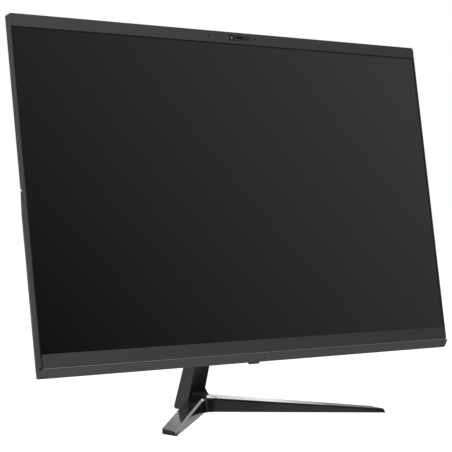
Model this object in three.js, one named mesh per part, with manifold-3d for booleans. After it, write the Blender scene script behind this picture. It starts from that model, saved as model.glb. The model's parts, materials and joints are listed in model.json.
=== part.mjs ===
// An all-in-one desktop computer: a 27-inch display head that tilts on a slim neck and a V-shaped foot.
// Millimetres, +Z up, the screen faces -Y, and the origin is on the floor under the middle of the object.
// The display head is drawn upright in its own frame (x across, w depth behind the front plane, v height
// above the chin's lower edge) and is then leaned back as one group.
import * as THREE from 'three';
import { mergeVertices } from 'three/addons/utils/BufferGeometryUtils.js';
import { ConvexGeometry } from 'three/addons/geometries/ConvexGeometry.js';
import Module from 'manifold-3d';

const wasm = await Module();
wasm.setup();

// ---------------------------------------------------------------- driving dimensions

const GAP = 0.3; // air left between neighbouring pieces
const PASS = 1; // how far a cutting tool runs past the face it opens

const LEAN = THREE.MathUtils.degToRad(9); // lean-back of the display at rest
const CHIN_HEIGHT_ABOVE_FLOOR = 77.4; // where the chin's lower edge stands

const HEAD = {
  half: 306, // half the overall width
  chin: 15.4, // top of the chin
  screenTop: 360.7, // lower edge of the top bezel
  top: 374.2, // top edge
  bottom: -9.4, // lower edge of the bevelled strip
  corner: 3.5, // corner radius
  lip: 1.8, // side lip width
  frameDepth: 2.5, // front frame thickness
  rim: 7, // thickness of the slim upper part
  wall: 2, // plastic wall
};

const CHIN = {
  front: -2,
  back: -0.3,
  corner: 0.8,
  bevelBack: 4.2, // depth of the bevel's lower edge
  stripEnd: 297.5,
  stripDeep: 8,
  stripWall: 1.4,
  stripRoom: 3, // height left free for the strip in the housing
};

const HOUSING = {
  depth: 36, // back plane
  inset: 18, // how far the sides draw in at the back plane
  top: 166, // upper edge of the back plane
  slopeTop: 186, // where the sloped top meets the slim cover
  bottomMid: -7.5, // underside at the back
  bottomMidDepth: 31,
  bottomBack: 0, // lower edge of the back plane
};

const PANEL = {
  half: 303.9, low: 12.8, glass: [0.5, 1.7], guide: [2.8, 4.4], tray: [4.6, 5.2],
  stackHalf: 301.9, stackLow: 14, stackTop: 359.5,
};
const DRIVER = { half: 200, v: [1, 12], w: [3, 4.2] };
const RIBBON = { x: [98, 122], low: 1.8, board: 18, front: 4.5, back: 15.2, thick: 0.4, top: 11 };

const CAMERA = {
  v: 367.8, windowR: 2.9, window: [0.2, 1.2], lensR: 2.6, lens: [3.3, 4.3],
  micX: [-35, 36], micHoleR: 0.7, micHalf: [2, 1.5], mic: [3.4, 4.3],
  lightX: 28, lightR: 0.6, light: [0.1, 2.6],
  boardHalf: 45, board: [4.5, 5.2], boardBelow: 4, boardAbove: 3.6,
};
const SHUTTER = {
  slot: [6, 26], slotHalf: 1.7, slotR: 1.6,
  knob: [17.5, 25.5], knobHalf: 1.4, knobR: 1.3, knobFront: 0.3,
  blade: [4.5, 27], bladeHalf: 3.5, w: [2.75, 3.1],
};

const HINGE = { w: 46.2, v: 146, pinR: 3, boreR: 3.25, knuckleR: 7.5, knuckleHalf: 11 };
const PIN = { headX: -19.9, headEnd: -22.6, end: 24, headR: 5.2 };
const WASHER = { x: [16.7, 19.5], r: 6.2 };
const NUT = { x: [19.9, 23], r: 5.2, sides: 6 };
const EAR = { x: [12.3, 16.3], r: 8 };
const BRACKET = { half: 28, flange: 44, v: [124, 156], base: 9.6, top: 22.3, thick: 2 };
const SHROUD = {
  half: 27, v: [129, 163], w: [36.3, 57], corner: 5, wall: 1.4, back: 2, lip: 3,
  slot: 12.4, pocket: 24.5, opening: 19, room: 9.5,
};

const VENT = {
  pitch: 11, half: 1.5,
  count: 22, x: 44, v: 154, high: 4,
  lowCount: 16, lowX: -250, lowV: 32, lowHigh: 12,
};

const CHASSIS = { half: 270, v: [6, 158], w: [8, 9.2] };
const BOARD = { x: [-30, 200], v: [12, 118], w: [12.4, 13.8] };
const CPU = { x: 60, v: 84, size: 37.5, w: [14.1, 17] };
const COLD = { size: 50, w: [17.3, 21] };
const PIPE = { half: 4, w: [21.3, 24.3], runX: -50, finV: 146, endX: -128, startX: 80 };
const FAN = {
  x: -98, v: 102, half: 36, w: [14, 28], wall: 1.5, chamberR: 32, eyeR: 22, outletInset: 6,
  axleR: 1.6, axleShort: 4, boreR: 2, boreShort: 1.5,
  rotorR: 29.5, hubR: 13, blades: 11, vaneThick: 1.2, vaneRoot: 2, clear: 0.8,
};
const FINS = { x: [-134, -62], v: [139, 153], w: [14, 20.8], count: 17, thick: 0.8, spine: 1.2 };
const MEMORY = { x: [96, 164], rows: [[52, 82], [84, 114]], w: [14.2, 17.8] };
const SSD = { x: [2, 24], v: [22, 102], w: [14.2, 17] };
const RADIO = { x: [170, 192], v: [56, 86], w: [14.2, 16.6] };
const DRIVE = { x: [-258, -158], v: [60, 130], w: [12, 21.5], trayWall: 1.2 };
const SPEAKER = { x: [215, 275], v: [2, 24], w: [10, 28], coneR: 9, coneDeep: 3 };

const IO = {
  x: [62, 208], v: [17, 51], w: [29, 33.6], floor: 1, opening: [[64, 206], [19, 49]],
  mouth: 31, back: 14.1, row: 34, rows: [27.5, 40.5],
};
const SOCKETS = {
  dc: { x: 72, bore: 2.8, deep: 10, pin: 1.1, half: 5 },
  network: { x: 92, half: [8, 6.8], hollow: [5.9, 4.4], deep: 12 },
  hdmi: { x: 113, half: [7.6, 3.1], hollow: [7, 2.5], deep: 10, tongue: 0.8 },
  usb: { columns: [134, 154], half: [6.9, 3.4], hollow: [6.2, 2.6], deep: 12, tongue: 0.9 },
  audio: { x: 176, bore: 1.8, deep: 10, half: 4.5 },
};
const INNER_SHORT = 1; // how far a socket's tongue or pin stays inside its mouth and sides

const BUTTON = {
  w: 20, half: [8, 2.6], capR: 2.4, low: -10.9, clear: 0.5,
  flange: [9.6, 4.2], flangeV: [-5.7, -4.7],
};
const SWITCH = { half: [6, 3], v: [-3.4, 0.5] };
const LIGHT = { x: 1, v: -5.4, r: 0.6, holeR: 0.9, w: [1.9, 6] };

// The foot: straight edges of one arm as y = start - slope * |x|, heights above the floor falling outwards.
const FOOT = {
  reach: 158, // toes' distance from the middle
  base: 0.6, // underside above the floor, standing on its pads
  innerLow: { y: 105.1, slope: 0.905 },
  innerTop: { y: 110.2, slope: 0.92, z: 16.9, fall: 0.084 },
  outerTop: { y: 128.5, slope: 0.895, z: 20.8, fall: 0.1025 },
  chamfer: 2,
  crotch: 14, // fillet radius between the arms
  sweep: 7.5, // radius of the concave sweep up to the neck
  sweepSteps: 6,
};
const PAD = { from: 118, to: 150, inset: 4, thick: 1.5, rearHalf: 8, rear: [130, 143], rearThick: 0.7 };

// The neck's side outline: front and rear lines lean forward going up.
const NECK = {
  half: 11.6,
  low: 1, // underside above the floor
  front: { y: 127.5, slope: 0.29 }, // y at floor level, and how far it comes forward per mm of height
  rear: { y: 152.5, slope: 0.371 },
  heel: 4, // radius of the lower rear corner
  top: 203, // where the shell stops under the knuckle
  wall: 2.4, // front wall
  cover: 1.2, // rear cover thickness
  pocketHalf: 8.4,
  pocket: [16, 198],
};
const CORE = { half: 8, thick: 3.4, tongue: { y: 107, z: [6, 11] } };
const SCREW = { x: 5, y: 114, headR: 3.4, headZ: [1, 3.2], shankR: 1.7, holeR: 2, top: 10.5 };

// The object's box is centred front to back.
const TOE_Y = FOOT.innerLow.y - FOOT.innerLow.slope * FOOT.reach;
const HEEL_Y = NECK.rear.y - NECK.rear.slope * (NECK.low + NECK.heel);
const SHIFT_Y = -(TOE_Y + HEEL_Y) / 2;

// ---------------------------------------------------------------- finishes

const finish = (color, roughness, metalness) =>
  new THREE.MeshStandardMaterial({ color, roughness, metalness });
const FINISH = {
  brushedBezel: finish(0x3c3d3f, 0.5, 0.2),
  bevelBand: finish(0x4e4f52, 0.4, 0.3),
  screen: finish(0x1b1c1d, 0.15, 0),
  cover: finish(0x303133, 0.6, 0),
  darkChrome: finish(0x2a2a2c, 0.15, 0.9),
  neckGloss: finish(0x1c1c1e, 0.2, 0.1),
  steel: finish(0x9a9ca0, 0.4, 1),
  rubber: finish(0x151515, 0.9, 0),
  board: finish(0x1e4d2b, 0.6, 0),
  chip: finish(0x202124, 0.5, 0.1),
  copper: finish(0xb06a3c, 0.3, 1),
  aluminium: finish(0xb9bcc0, 0.4, 1),
  blackPlastic: finish(0x18191b, 0.5, 0),
  clear: finish(0xf2f4f6, 0.05, 0),
};

// ---------------------------------------------------------------- solids

// A closed geometry as a solid that can be cut and joined.
function solid(geometry) {
  const bare = geometry.clone();
  bare.deleteAttribute('normal');
  bare.deleteAttribute('uv');
  const merged = mergeVertices(bare);
  const vertProperties = new Float32Array(merged.attributes.position.array);
  const triVerts = new Uint32Array(merged.index.array);
  return new wasm.Manifold(new wasm.Mesh({ numProp: 3, vertProperties, triVerts }));
}

// A solid back as a geometry with flat shading normals.
function geometryOf(body) {
  const mesh = body.getMesh();
  const geometry = new THREE.BufferGeometry();
  geometry.setAttribute('position', new THREE.BufferAttribute(new Float32Array(mesh.vertProperties), 3));
  geometry.setIndex(new THREE.BufferAttribute(new Uint32Array(mesh.triVerts), 1));
  geometry.computeVertexNormals();
  return geometry;
}

const cut = (body, ...tools) => tools.reduce((left, tool) => left.subtract(tool), body);
const join = (first, ...others) => others.reduce((sum, other) => sum.add(other), first);

// A block between two limits on each axis.
function block([x0, x1], [y0, y1], [z0, z1]) {
  const geometry = new THREE.BoxGeometry(x1 - x0, y1 - y0, z1 - z0);
  geometry.translate((x0 + x1) / 2, (y0 + y1) / 2, (z0 + z1) / 2);
  return solid(geometry);
}

const symmetric = (half) => [-half, half];
const around = (middle, half) => [middle - half, middle + half];

// A block centred on x and z, between two depths.
const blockAt = (x, z, halfX, halfZ, depth) => block(around(x, halfX), depth, around(z, halfZ));

// A round bar between two points on a line parallel to an axis.
function bar(axis, radius, from, to, [a, b], segments = 24) {
  const geometry = new THREE.CylinderGeometry(radius, radius, to - from, segments);
  geometry.translate(0, (from + to) / 2, 0);
  if (axis === 'x') geometry.rotateZ(-Math.PI / 2).translate(0, a, b);
  if (axis === 'y') geometry.translate(a, 0, b);
  if (axis === 'z') geometry.rotateX(Math.PI / 2).translate(a, b, 0);
  return solid(geometry);
}

// The hull of a set of points.
const hull = (points) => solid(new ConvexGeometry(points.map(([x, y, z]) => new THREE.Vector3(x, y, z))));

// An outline given a thickness along the third axis.
const extruded = (shape, depth, curveSegments) =>
  new THREE.ExtrudeGeometry(shape, { depth, bevelEnabled: false, curveSegments });

// An outline in the x-z plane, extruded between two depths.
function plate(shape, [y0, y1], segments = 6) {
  const geometry = extruded(shape, y1 - y0, segments);
  geometry.rotateX(Math.PI / 2).translate(0, y1, 0);
  return solid(geometry);
}

// An outline in the x-y plane, extruded upwards.
function slab(shape, [z0, z1], segments = 6) {
  const geometry = extruded(shape, z1 - z0, segments);
  geometry.translate(0, 0, z0);
  return solid(geometry);
}

// A side outline in the y-z plane, extruded across between two x limits.
function profile(shape, [x0, x1], segments = 6) {
  const geometry = extruded(shape, x1 - x0, segments);
  const turn = new THREE.Matrix4().makeBasis(
    new THREE.Vector3(0, 1, 0),
    new THREE.Vector3(0, 0, 1),
    new THREE.Vector3(1, 0, 0),
  );
  geometry.applyMatrix4(turn).translate(x0, 0, 0);
  return solid(geometry);
}

const outline = (points) => new THREE.Shape(points.map(([a, b]) => new THREE.Vector2(a, b)));

// A rectangle with round corners.
function roundRect([x0, x1], [y0, y1], r) {
  const shape = new THREE.Shape();
  shape.moveTo(x0 + r, y0);
  shape.lineTo(x1 - r, y0);
  shape.absarc(x1 - r, y0 + r, r, -Math.PI / 2, 0, false);
  shape.lineTo(x1, y1 - r);
  shape.absarc(x1 - r, y1 - r, r, 0, Math.PI / 2, false);
  shape.lineTo(x0 + r, y1);
  shape.absarc(x0 + r, y1 - r, r, Math.PI / 2, Math.PI, false);
  shape.lineTo(x0, y0 + r);
  shape.absarc(x0 + r, y0 + r, r, Math.PI, 1.5 * Math.PI, false);
  return shape;
}

// ---------------------------------------------------------------- stand: foot

const edgeY = (edge, x) => edge.y - edge.slope * x;
const edgeZ = (edge, x) => edge.z - edge.fall * x;

// How far an arm's outer top edge has swept up towards the neck, a distance x from the middle.
function sweepRise(x) {
  const r = FOOT.sweep;
  const left = r - Math.min(Math.max(x - NECK.half, 0), r);
  return r - Math.sqrt(r * r - left * left);
}

// One cross-section of an arm at a distance x from the middle, as points on the given side.
function armSection(x, side) {
  const { base, innerLow, innerTop, outerTop, chamfer } = FOOT;
  const innerY = edgeY(innerTop, x);
  const innerZ = edgeZ(innerTop, x);
  const outerY = edgeY(outerTop, x);
  const outerZ = edgeZ(outerTop, x) + sweepRise(x);
  const chamferZ = innerZ - Math.min(chamfer, (innerZ - base) / 2);
  return [
    [side * x, edgeY(innerLow, x), base],
    [side * x, (edgeY(innerLow, x) + innerY) / 2, chamferZ],
    [side * x, innerY + chamfer / 2, innerZ],
    [side * x, outerY, outerZ],
    [side * x, outerY, base],
  ];
}

// The distances from the middle at which an arm's section is drawn.
function armStations() {
  const stations = [0];
  for (let i = 0; i <= FOOT.sweepSteps; i += 1) {
    const angle = (i / FOOT.sweepSteps) * (Math.PI / 2);
    stations.push(NECK.half + FOOT.sweep * (1 - Math.cos(angle)));
  }
  return [...stations, FOOT.reach];
}

function arm(side) {
  const sections = armStations().map((x) => armSection(x, side));
  return join(...sections.slice(1).map((section, i) => hull([...sections[i], ...section])));
}

// The rounded web between the two arms.
function crotchWeb() {
  const { y, slope } = FOOT.innerLow;
  const r = FOOT.crotch;
  const turn = Math.atan2(1, slope); // half the angle between the arms, from straight ahead
  const centreY = y - r / Math.sin(turn);
  const tangentX = r * Math.cos(turn);
  const tangentY = centreY + r * Math.sin(turn);
  const shape = new THREE.Shape();
  shape.moveTo(0, y + FOOT.chamfer);
  shape.lineTo(-tangentX - FOOT.chamfer, tangentY);
  shape.lineTo(-tangentX, tangentY);
  shape.absarc(0, centreY, r, Math.PI - turn, turn, true);
  shape.lineTo(tangentX + FOOT.chamfer, tangentY);
  return slab(shape, [FOOT.base, FOOT.innerTop.z - FOOT.chamfer], 10);
}

// A strip along the arm's middle line, for the pads and their pockets.
function padStrip(side, [z0, z1], grow) {
  const from = PAD.from - grow;
  const to = PAD.to + grow;
  const inset = PAD.inset - grow;
  const corner = (x, edge, sign) => [side * x, edgeY(edge, x) + sign * inset];
  const points = [
    corner(from, FOOT.innerLow, 1),
    corner(to, FOOT.innerLow, 1),
    corner(to, FOOT.outerTop, -1),
    corner(from, FOOT.outerTop, -1),
  ];
  return slab(outline(side > 0 ? points : points.reverse()), [z0, z1]);
}

function foot() {
  const both = join(arm(1), arm(-1), crotchWeb());
  const neckRoom = profile(neckOutline(GAP), symmetric(NECK.half + GAP));
  const tongue = CORE.tongue;
  const tongueRoom = block(
    symmetric(CORE.half + GAP),
    [tongue.y - GAP, neckFrontY(0)],
    [tongue.z[0] - GAP, tongue.z[1] + GAP],
  );
  const pockets = [1, -1].map((side) => padStrip(side, [-PASS, PAD.thick + GAP], GAP));
  const holes = [1, -1].flatMap((side) => [
    bar('z', SCREW.headR + GAP, -PASS, SCREW.headZ[1] + GAP, [side * SCREW.x, SCREW.y]),
    bar('z', SCREW.holeR, -PASS, tongue.z[0] + PASS, [side * SCREW.x, SCREW.y]),
  ]);
  return cut(both, neckRoom, tongueRoom, ...pockets, ...holes);
}

const footPad = (side) => padStrip(side, [0, PAD.thick], 0);
const rearPad = () => block(symmetric(PAD.rearHalf), PAD.rear, [0, PAD.rearThick]);

function baseScrew(side) {
  const head = bar('z', SCREW.headR, SCREW.headZ[0], SCREW.headZ[1], [side * SCREW.x, SCREW.y]);
  const shank = bar('z', SCREW.shankR, SCREW.headZ[0], SCREW.top, [side * SCREW.x, SCREW.y]);
  return join(head, shank);
}

// ---------------------------------------------------------------- stand: neck

const neckFrontY = (z) => NECK.front.y - NECK.front.slope * z;
const neckRearY = (z) => NECK.rear.y - NECK.rear.slope * z;

// The side outline, grown by a clearance where it makes room in the foot.
function neckOutline(grow) {
  const low = NECK.low - grow;
  const heelZ = NECK.low + NECK.heel;
  const shape = new THREE.Shape();
  shape.moveTo(neckFrontY(low) - grow, low);
  shape.lineTo(neckRearY(heelZ) - NECK.heel, low);
  shape.quadraticCurveTo(neckRearY(low) - NECK.heel / 4, low, neckRearY(heelZ) + grow, heelZ);
  shape.lineTo(neckRearY(NECK.top) + grow, NECK.top);
  shape.lineTo(neckFrontY(NECK.top) - grow, NECK.top);
  return shape;
}

// A band of the neck's inside between two distances behind its front line.
function behindFront(near, far, [z0, z1]) {
  return outline([
    [neckFrontY(z0) + near, z0],
    [neckFrontY(z0) + far, z0],
    [neckFrontY(z1) + far, z1],
    [neckFrontY(z1) + near, z1],
  ]);
}

// A band along the rear line, between two distances in front of it.
function alongRear(near, far, [z0, z1]) {
  return outline([
    [neckRearY(z0) - far, z0],
    [neckRearY(z0) - near, z0],
    [neckRearY(z1) - near, z1],
    [neckRearY(z1) - far, z1],
  ]);
}

function neckPocket() {
  const [z0, z1] = NECK.pocket;
  return outline([
    [neckFrontY(z0) + NECK.wall, z0],
    [neckRearY(z0) + PASS, z0],
    [neckRearY(z1) + PASS, z1],
    [neckFrontY(z1) + NECK.wall, z1],
  ]);
}

function neckShell() {
  const [low, high] = CORE.tongue.z;
  const across = symmetric(CORE.half + GAP);
  const coreHeights = [low - GAP, NECK.top + PASS];
  const coreRoom = profile(behindFront(NECK.wall, NECK.wall + CORE.thick + 2 * GAP, coreHeights), across);
  const tongueDepth = [CORE.tongue.y, neckFrontY(low) + NECK.wall + PASS];
  const tongueRoom = block(across, tongueDepth, [low - GAP, high + GAP]);
  const pocket = profile(neckPocket(), symmetric(NECK.pocketHalf));
  return cut(profile(neckOutline(0), symmetric(NECK.half)), pocket, coreRoom, tongueRoom);
}

const hingeY = () => HINGE.w * Math.cos(LEAN) + HINGE.v * Math.sin(LEAN);
const hingeZ = () => CHIN_HEIGHT_ABOVE_FLOOR - HINGE.w * Math.sin(LEAN) + HINGE.v * Math.cos(LEAN);

// The steel core: a forward tongue in the foot, a leaning bar, and the knuckle round the hinge pin.
function neckCore() {
  const { half, thick, tongue } = CORE;
  const [low, high] = tongue.z;
  const top = hingeZ();
  const near = NECK.wall + GAP;
  const far = near + thick;
  const spine = outline([
    [tongue.y, low],
    [neckFrontY(low) + far, low],
    [neckFrontY(top) + far, top],
    [neckFrontY(top) + near, top],
    [neckFrontY(high) + near, high],
    [tongue.y, high],
  ]);
  const axis = [hingeY(), top];
  const holes = [1, -1].map((side) => bar('z', SCREW.holeR, 0, high + PASS, [side * SCREW.x, SCREW.y]));
  const knuckle = bar('x', HINGE.knuckleR, -HINGE.knuckleHalf, HINGE.knuckleHalf, axis);
  const bore = bar('x', HINGE.boreR, -HINGE.knuckleHalf - PASS, HINGE.knuckleHalf + PASS, axis);
  return cut(join(profile(spine, symmetric(half)), knuckle), bore, ...holes);
}

function neckRearCover() {
  const [z0, z1] = NECK.pocket;
  return profile(alongRear(0, NECK.cover, [z0 + GAP, z1 - GAP]), symmetric(NECK.pocketHalf - GAP));
}

// ---------------------------------------------------------------- stand: hinge hardware

// A round piece on the hinge's axis, between two x limits.
const onAxis = (radius, from, to, segments) => bar('x', radius, from, to, [hingeY(), hingeZ()], segments);
const hingePin = () =>
  join(onAxis(HINGE.pinR, PIN.headEnd, PIN.end), onAxis(PIN.headR, PIN.headEnd, PIN.headX));

// A washer or nut on the pin, between two x limits.
const ring = (radius, [near, far], segments) =>
  cut(onAxis(radius, near, far, segments), onAxis(HINGE.boreR, near - PASS, far + PASS));
const hingeNut = () => ring(NUT.r, NUT.x, NUT.sides);
const frictionWasher = (side) => ring(WASHER.r, side > 0 ? WASHER.x : [-WASHER.x[1], -WASHER.x[0]]);

// ---------------------------------------------------------------- display: frame and screen

function frontFrame() {
  const outer = plate(roundRect(symmetric(HEAD.half), [GAP, HEAD.top], HEAD.corner), [0, HEAD.frameDepth]);
  const through = [-PASS, HEAD.frameDepth + PASS];
  const window = block(symmetric(HEAD.half - HEAD.lip), through, [PANEL.low - GAP, HEAD.screenTop]);
  const lens = bar('y', CAMERA.windowR + GAP, through[0], through[1], [0, CAMERA.v]);
  const slot = plate(roundRect(SHUTTER.slot, around(CAMERA.v, SHUTTER.slotHalf), SHUTTER.slotR), through);
  const light = bar('y', CAMERA.lightR + GAP, through[0], through[1], [CAMERA.lightX, CAMERA.v], 12);
  const mics = CAMERA.micX.map((x) => bar('y', CAMERA.micHoleR, through[0], through[1], [x, CAMERA.v], 10));
  return cut(outer, window, lens, slot, light, ...mics);
}

const chinOutline = () => roundRect(symmetric(HEAD.half), [0, HEAD.chin], CHIN.corner);
const chinBezel = () => plate(chinOutline(), [CHIN.front, CHIN.back], 3);

// The bevelled strip's section, from under the chin's front edge to the underside.
function stripOutline(deep) {
  const wall = CHIN.stripWall;
  return outline([
    [CHIN.front, -GAP],
    [CHIN.bevelBack, HEAD.bottom],
    [deep, HEAD.bottom],
    [deep, HEAD.bottom + wall],
    [CHIN.bevelBack + wall / 2, HEAD.bottom + wall],
    [CHIN.front + 2 * wall, -GAP],
  ]);
}

function chinLowerStrip() {
  const strip = profile(stripOutline(CHIN.stripDeep), symmetric(CHIN.stripEnd));
  return cut(strip, bar('y', LIGHT.holeR, CHIN.front - PASS, CHIN.stripDeep, [LIGHT.x, LIGHT.v], 12));
}

const panelLayer = (depth) => block(symmetric(PANEL.stackHalf), depth, [PANEL.stackLow, PANEL.stackTop]);
const lcdGlass = () => block(symmetric(PANEL.half), PANEL.glass, [PANEL.low, HEAD.screenTop - GAP]);
const lightGuide = () => panelLayer(PANEL.guide);
const rearTray = () => panelLayer(PANEL.tray);
const driverBoard = () => block(symmetric(DRIVER.half), DRIVER.w, DRIVER.v);

// A flat ribbon from the driver board, under the chassis plate, to the motherboard.
function panelCable() {
  const { x, low, board, front, back, thick, top } = RIBBON;
  const shape = outline([
    [front, low],
    [back, low],
    [back, board],
    [back - thick, board],
    [back - thick, low + thick],
    [front + thick, low + thick],
    [front + thick, top],
    [front, top],
  ]);
  return profile(shape, x);
}

// ---------------------------------------------------------------- display: camera

// A round piece of the camera bar, between two depths.
const cameraRound = (x, radius, [near, far], segments) =>
  bar('y', radius, near, far, [x, CAMERA.v], segments);

const cameraWindow = () => cameraRound(0, CAMERA.windowR, CAMERA.window);
const cameraLens = () => cameraRound(0, CAMERA.lensR, CAMERA.lens);
const cameraLight = () => cameraRound(CAMERA.lightX, CAMERA.lightR, CAMERA.light, 12);
const microphone = (x) => blockAt(x, CAMERA.v, ...CAMERA.micHalf, CAMERA.mic);

function cameraBoard() {
  const heights = [CAMERA.v - CAMERA.boardBelow, CAMERA.v + CAMERA.boardAbove];
  return block(symmetric(CAMERA.boardHalf), CAMERA.board, heights);
}

// The sliding blade and the knob that stands in the slot.
function cameraShutter() {
  const { blade, bladeHalf, w, knob, knobHalf, knobR, knobFront } = SHUTTER;
  const knobShape = roundRect(knob, around(CAMERA.v, knobHalf), knobR);
  return join(block(blade, w, around(CAMERA.v, bladeHalf)), plate(knobShape, [knobFront, w[1]], 4));
}

// ---------------------------------------------------------------- display: covers

function rearCover() {
  const low = HOUSING.slopeTop + GAP;
  const shape = roundRect(symmetric(HEAD.half), [low, HEAD.top], HEAD.corner);
  const shell = plate(shape, [HEAD.frameDepth + GAP, HEAD.rim]);
  const inner = HEAD.half - HEAD.wall;
  const room = block(symmetric(inner), [0, PANEL.tray[1] + GAP], [low - PASS, HEAD.top - HEAD.wall]);
  return cut(shell, room);
}

// The corners of the housing's outer form, drawn in by a wall thickness for its inside.
function housingCorners(wall, frontW) {
  const bottom = HEAD.bottom + wall;
  const back = HOUSING.depth - wall;
  const backHalf = HEAD.half - HOUSING.inset - wall;
  const rimHalf = HEAD.half - wall;
  const taper = HOUSING.inset / (HOUSING.depth - HEAD.rim);
  const lowHalf = backHalf + (HOUSING.depth - HOUSING.bottomMidDepth) * taper;
  const pairs = (half, w, heights) => heights.flatMap((v) => [[-half, w, v], [half, w, v]]);
  return [
    ...pairs(rimHalf, frontW, [bottom, HOUSING.slopeTop]),
    ...pairs(rimHalf, HEAD.rim - wall / 2, [bottom, HOUSING.slopeTop - wall]),
    ...pairs(lowHalf, HOUSING.bottomMidDepth, [HOUSING.bottomMid + wall]),
    ...pairs(backHalf, back, [HOUSING.bottomBack + wall, HOUSING.top - wall / 2]),
  ];
}

// Rows of slots through the housing's back, either side of the hinge and low on the left.
function ventSlots() {
  const slots = [];
  const through = [HOUSING.depth - HEAD.wall - PASS, HOUSING.depth + PASS];
  for (let i = 0; i < VENT.count; i += 1) {
    const x = VENT.x + i * VENT.pitch;
    slots.push(blockAt(x, VENT.v, VENT.half, VENT.high, through));
    slots.push(blockAt(-x, VENT.v, VENT.half, VENT.high, through));
  }
  for (let i = 0; i < VENT.lowCount; i += 1) {
    const x = VENT.lowX + i * VENT.pitch;
    slots.push(blockAt(x, VENT.lowV, VENT.half, VENT.lowHigh, through));
  }
  return slots;
}

// The housing's own bevelled corners, either side of the chin strip.
function cornerBlock(side) {
  const from = CHIN.stripEnd + GAP;
  const shape = outline([
    [CHIN.front, -GAP],
    [CHIN.bevelBack, HEAD.bottom],
    [HEAD.rim, HEAD.bottom],
    [HEAD.rim, -GAP],
  ]);
  return profile(shape, side > 0 ? [from, HEAD.half] : [-HEAD.half, -from]);
}

function rearHousing() {
  const front = HEAD.frameDepth + GAP;
  const outer = hull(housingCorners(0, front));
  const inner = hull(housingCorners(HEAD.wall, front - PASS));
  const stripHeights = [HEAD.bottom - PASS, HEAD.bottom + CHIN.stripRoom];
  const stripRoom = block(symmetric(CHIN.stripEnd + GAP), [0, CHIN.stripDeep + GAP], stripHeights);
  const topHeights = [HOUSING.top, HOUSING.slopeTop + PASS];
  const topRoom = block(symmetric(HEAD.half - HEAD.wall), [0, PANEL.tray[1] + GAP], topHeights);
  const through = [HOUSING.depth - HEAD.wall - PASS, HOUSING.depth + PASS];
  const ioRoom = block(IO.opening[0], through, IO.opening[1]);
  const hingeHeights = [SHROUD.v[0] + SHROUD.back, SHROUD.v[1] - SHROUD.lip];
  const hingeRoom = block(symmetric(SHROUD.opening), through, hingeHeights);
  const [capX, capW] = BUTTON.half.map((half) => half + BUTTON.clear);
  const buttonRoom = block(symmetric(capX), around(BUTTON.w, capW), [BUTTON.low, BUTTON.flangeV[0]]);
  const shell = join(cut(outer, inner), cornerBlock(1), cornerBlock(-1));
  return cut(shell, stripRoom, topRoom, ioRoom, hingeRoom, buttonRoom, ...ventSlots());
}

// ---------------------------------------------------------------- display: hinge bracket and shroud

function hingeBracket() {
  const { half, flange, v, base, top, thick } = BRACKET;
  const axis = [HINGE.w, HINGE.v];
  const crown = block(symmetric(half), [top - thick, top], v);
  const onSide = (sign, near, far) => (sign > 0 ? [near, far] : [-far, -near]);
  const halves = [1, -1].flatMap((sign) => {
    const ear = onSide(sign, ...EAR.x);
    return [
      block(onSide(sign, half - thick, half), [base, top], v),
      block(onSide(sign, half - thick, flange), [base, base + thick], v),
      block(ear, [top - thick, HINGE.w], around(HINGE.v, EAR.r)),
      bar('x', EAR.r, ...ear, axis),
    ];
  });
  return cut(join(crown, ...halves), bar('x', HINGE.boreR, -half, half, axis));
}

function hingeShroud() {
  const { half, v, w, corner, wall, back, lip, slot, pocket, opening, room } = SHROUD;
  const outer = plate(roundRect(symmetric(half), v, corner), w);
  const neckSlot = block(symmetric(slot), [w[0] + wall, w[1] + PASS], [v[0] - PASS, v[1] - lip]);
  const earRoom = block(symmetric(pocket), [w[0] + wall, w[1] - back], around(HINGE.v, room));
  const inlet = block(symmetric(opening), [w[0] - PASS, w[0] + lip], around(HINGE.v, room));
  return cut(outer, neckSlot, earRoom, inlet);
}

// ---------------------------------------------------------------- display: electronics

const chassisPlate = () => block(symmetric(CHASSIS.half), CHASSIS.w, CHASSIS.v);
const motherboard = () => block(BOARD.x, BOARD.w, BOARD.v);
const processor = () => blockAt(CPU.x, CPU.v, CPU.size / 2, CPU.size / 2, CPU.w);
const coldPlate = () => blockAt(CPU.x, CPU.v, COLD.size / 2, COLD.size / 2, COLD.w);
const memoryModule = (row) => block(MEMORY.x, MEMORY.w, row);
const ssdModule = () => block(SSD.x, SSD.w, SSD.v);
const wirelessCard = () => block(RADIO.x, RADIO.w, RADIO.v);

// A flattened pipe from the cold plate, up beside the bracket, and along the fins.
function heatPipe() {
  const { half, w, runX, finV, endX, startX } = PIPE;
  const lower = block([runX - half, startX], w, around(CPU.v, half));
  const riser = block(around(runX, half), w, [CPU.v - half, finV + half]);
  const upper = block([endX, runX + half], w, around(finV, half));
  return join(lower, riser, upper);
}

function radiatorFins() {
  const { x, v, w, count, thick, spine } = FINS;
  const pitch = (x[1] - x[0] - thick) / (count - 1);
  const fins = [];
  for (let i = 0; i < count; i += 1) {
    const start = x[0] + i * pitch;
    fins.push(block([start, start + thick], w, v));
  }
  return join(block(x, [w[1] - spine, w[1]], v), ...fins);
}

function fanHousing() {
  const { x, v, half, w, chamberR, wall, eyeR, outletInset, axleR, axleShort } = FAN;
  const body = blockAt(x, v, half, half, w);
  const inside = [w[0] + wall, w[1] - wall];
  const chamber = bar('y', chamberR, ...inside, [x, v], 40);
  const eye = bar('y', eyeR, inside[1] - PASS, w[1] + PASS, [x, v], 32);
  const outlet = block(around(x, half - outletInset), inside, [v, v + half + PASS]);
  const axle = bar('y', axleR, w[0], w[1] - axleShort, [x, v], 16);
  return join(cut(body, chamber, eye, outlet), axle);
}

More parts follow.
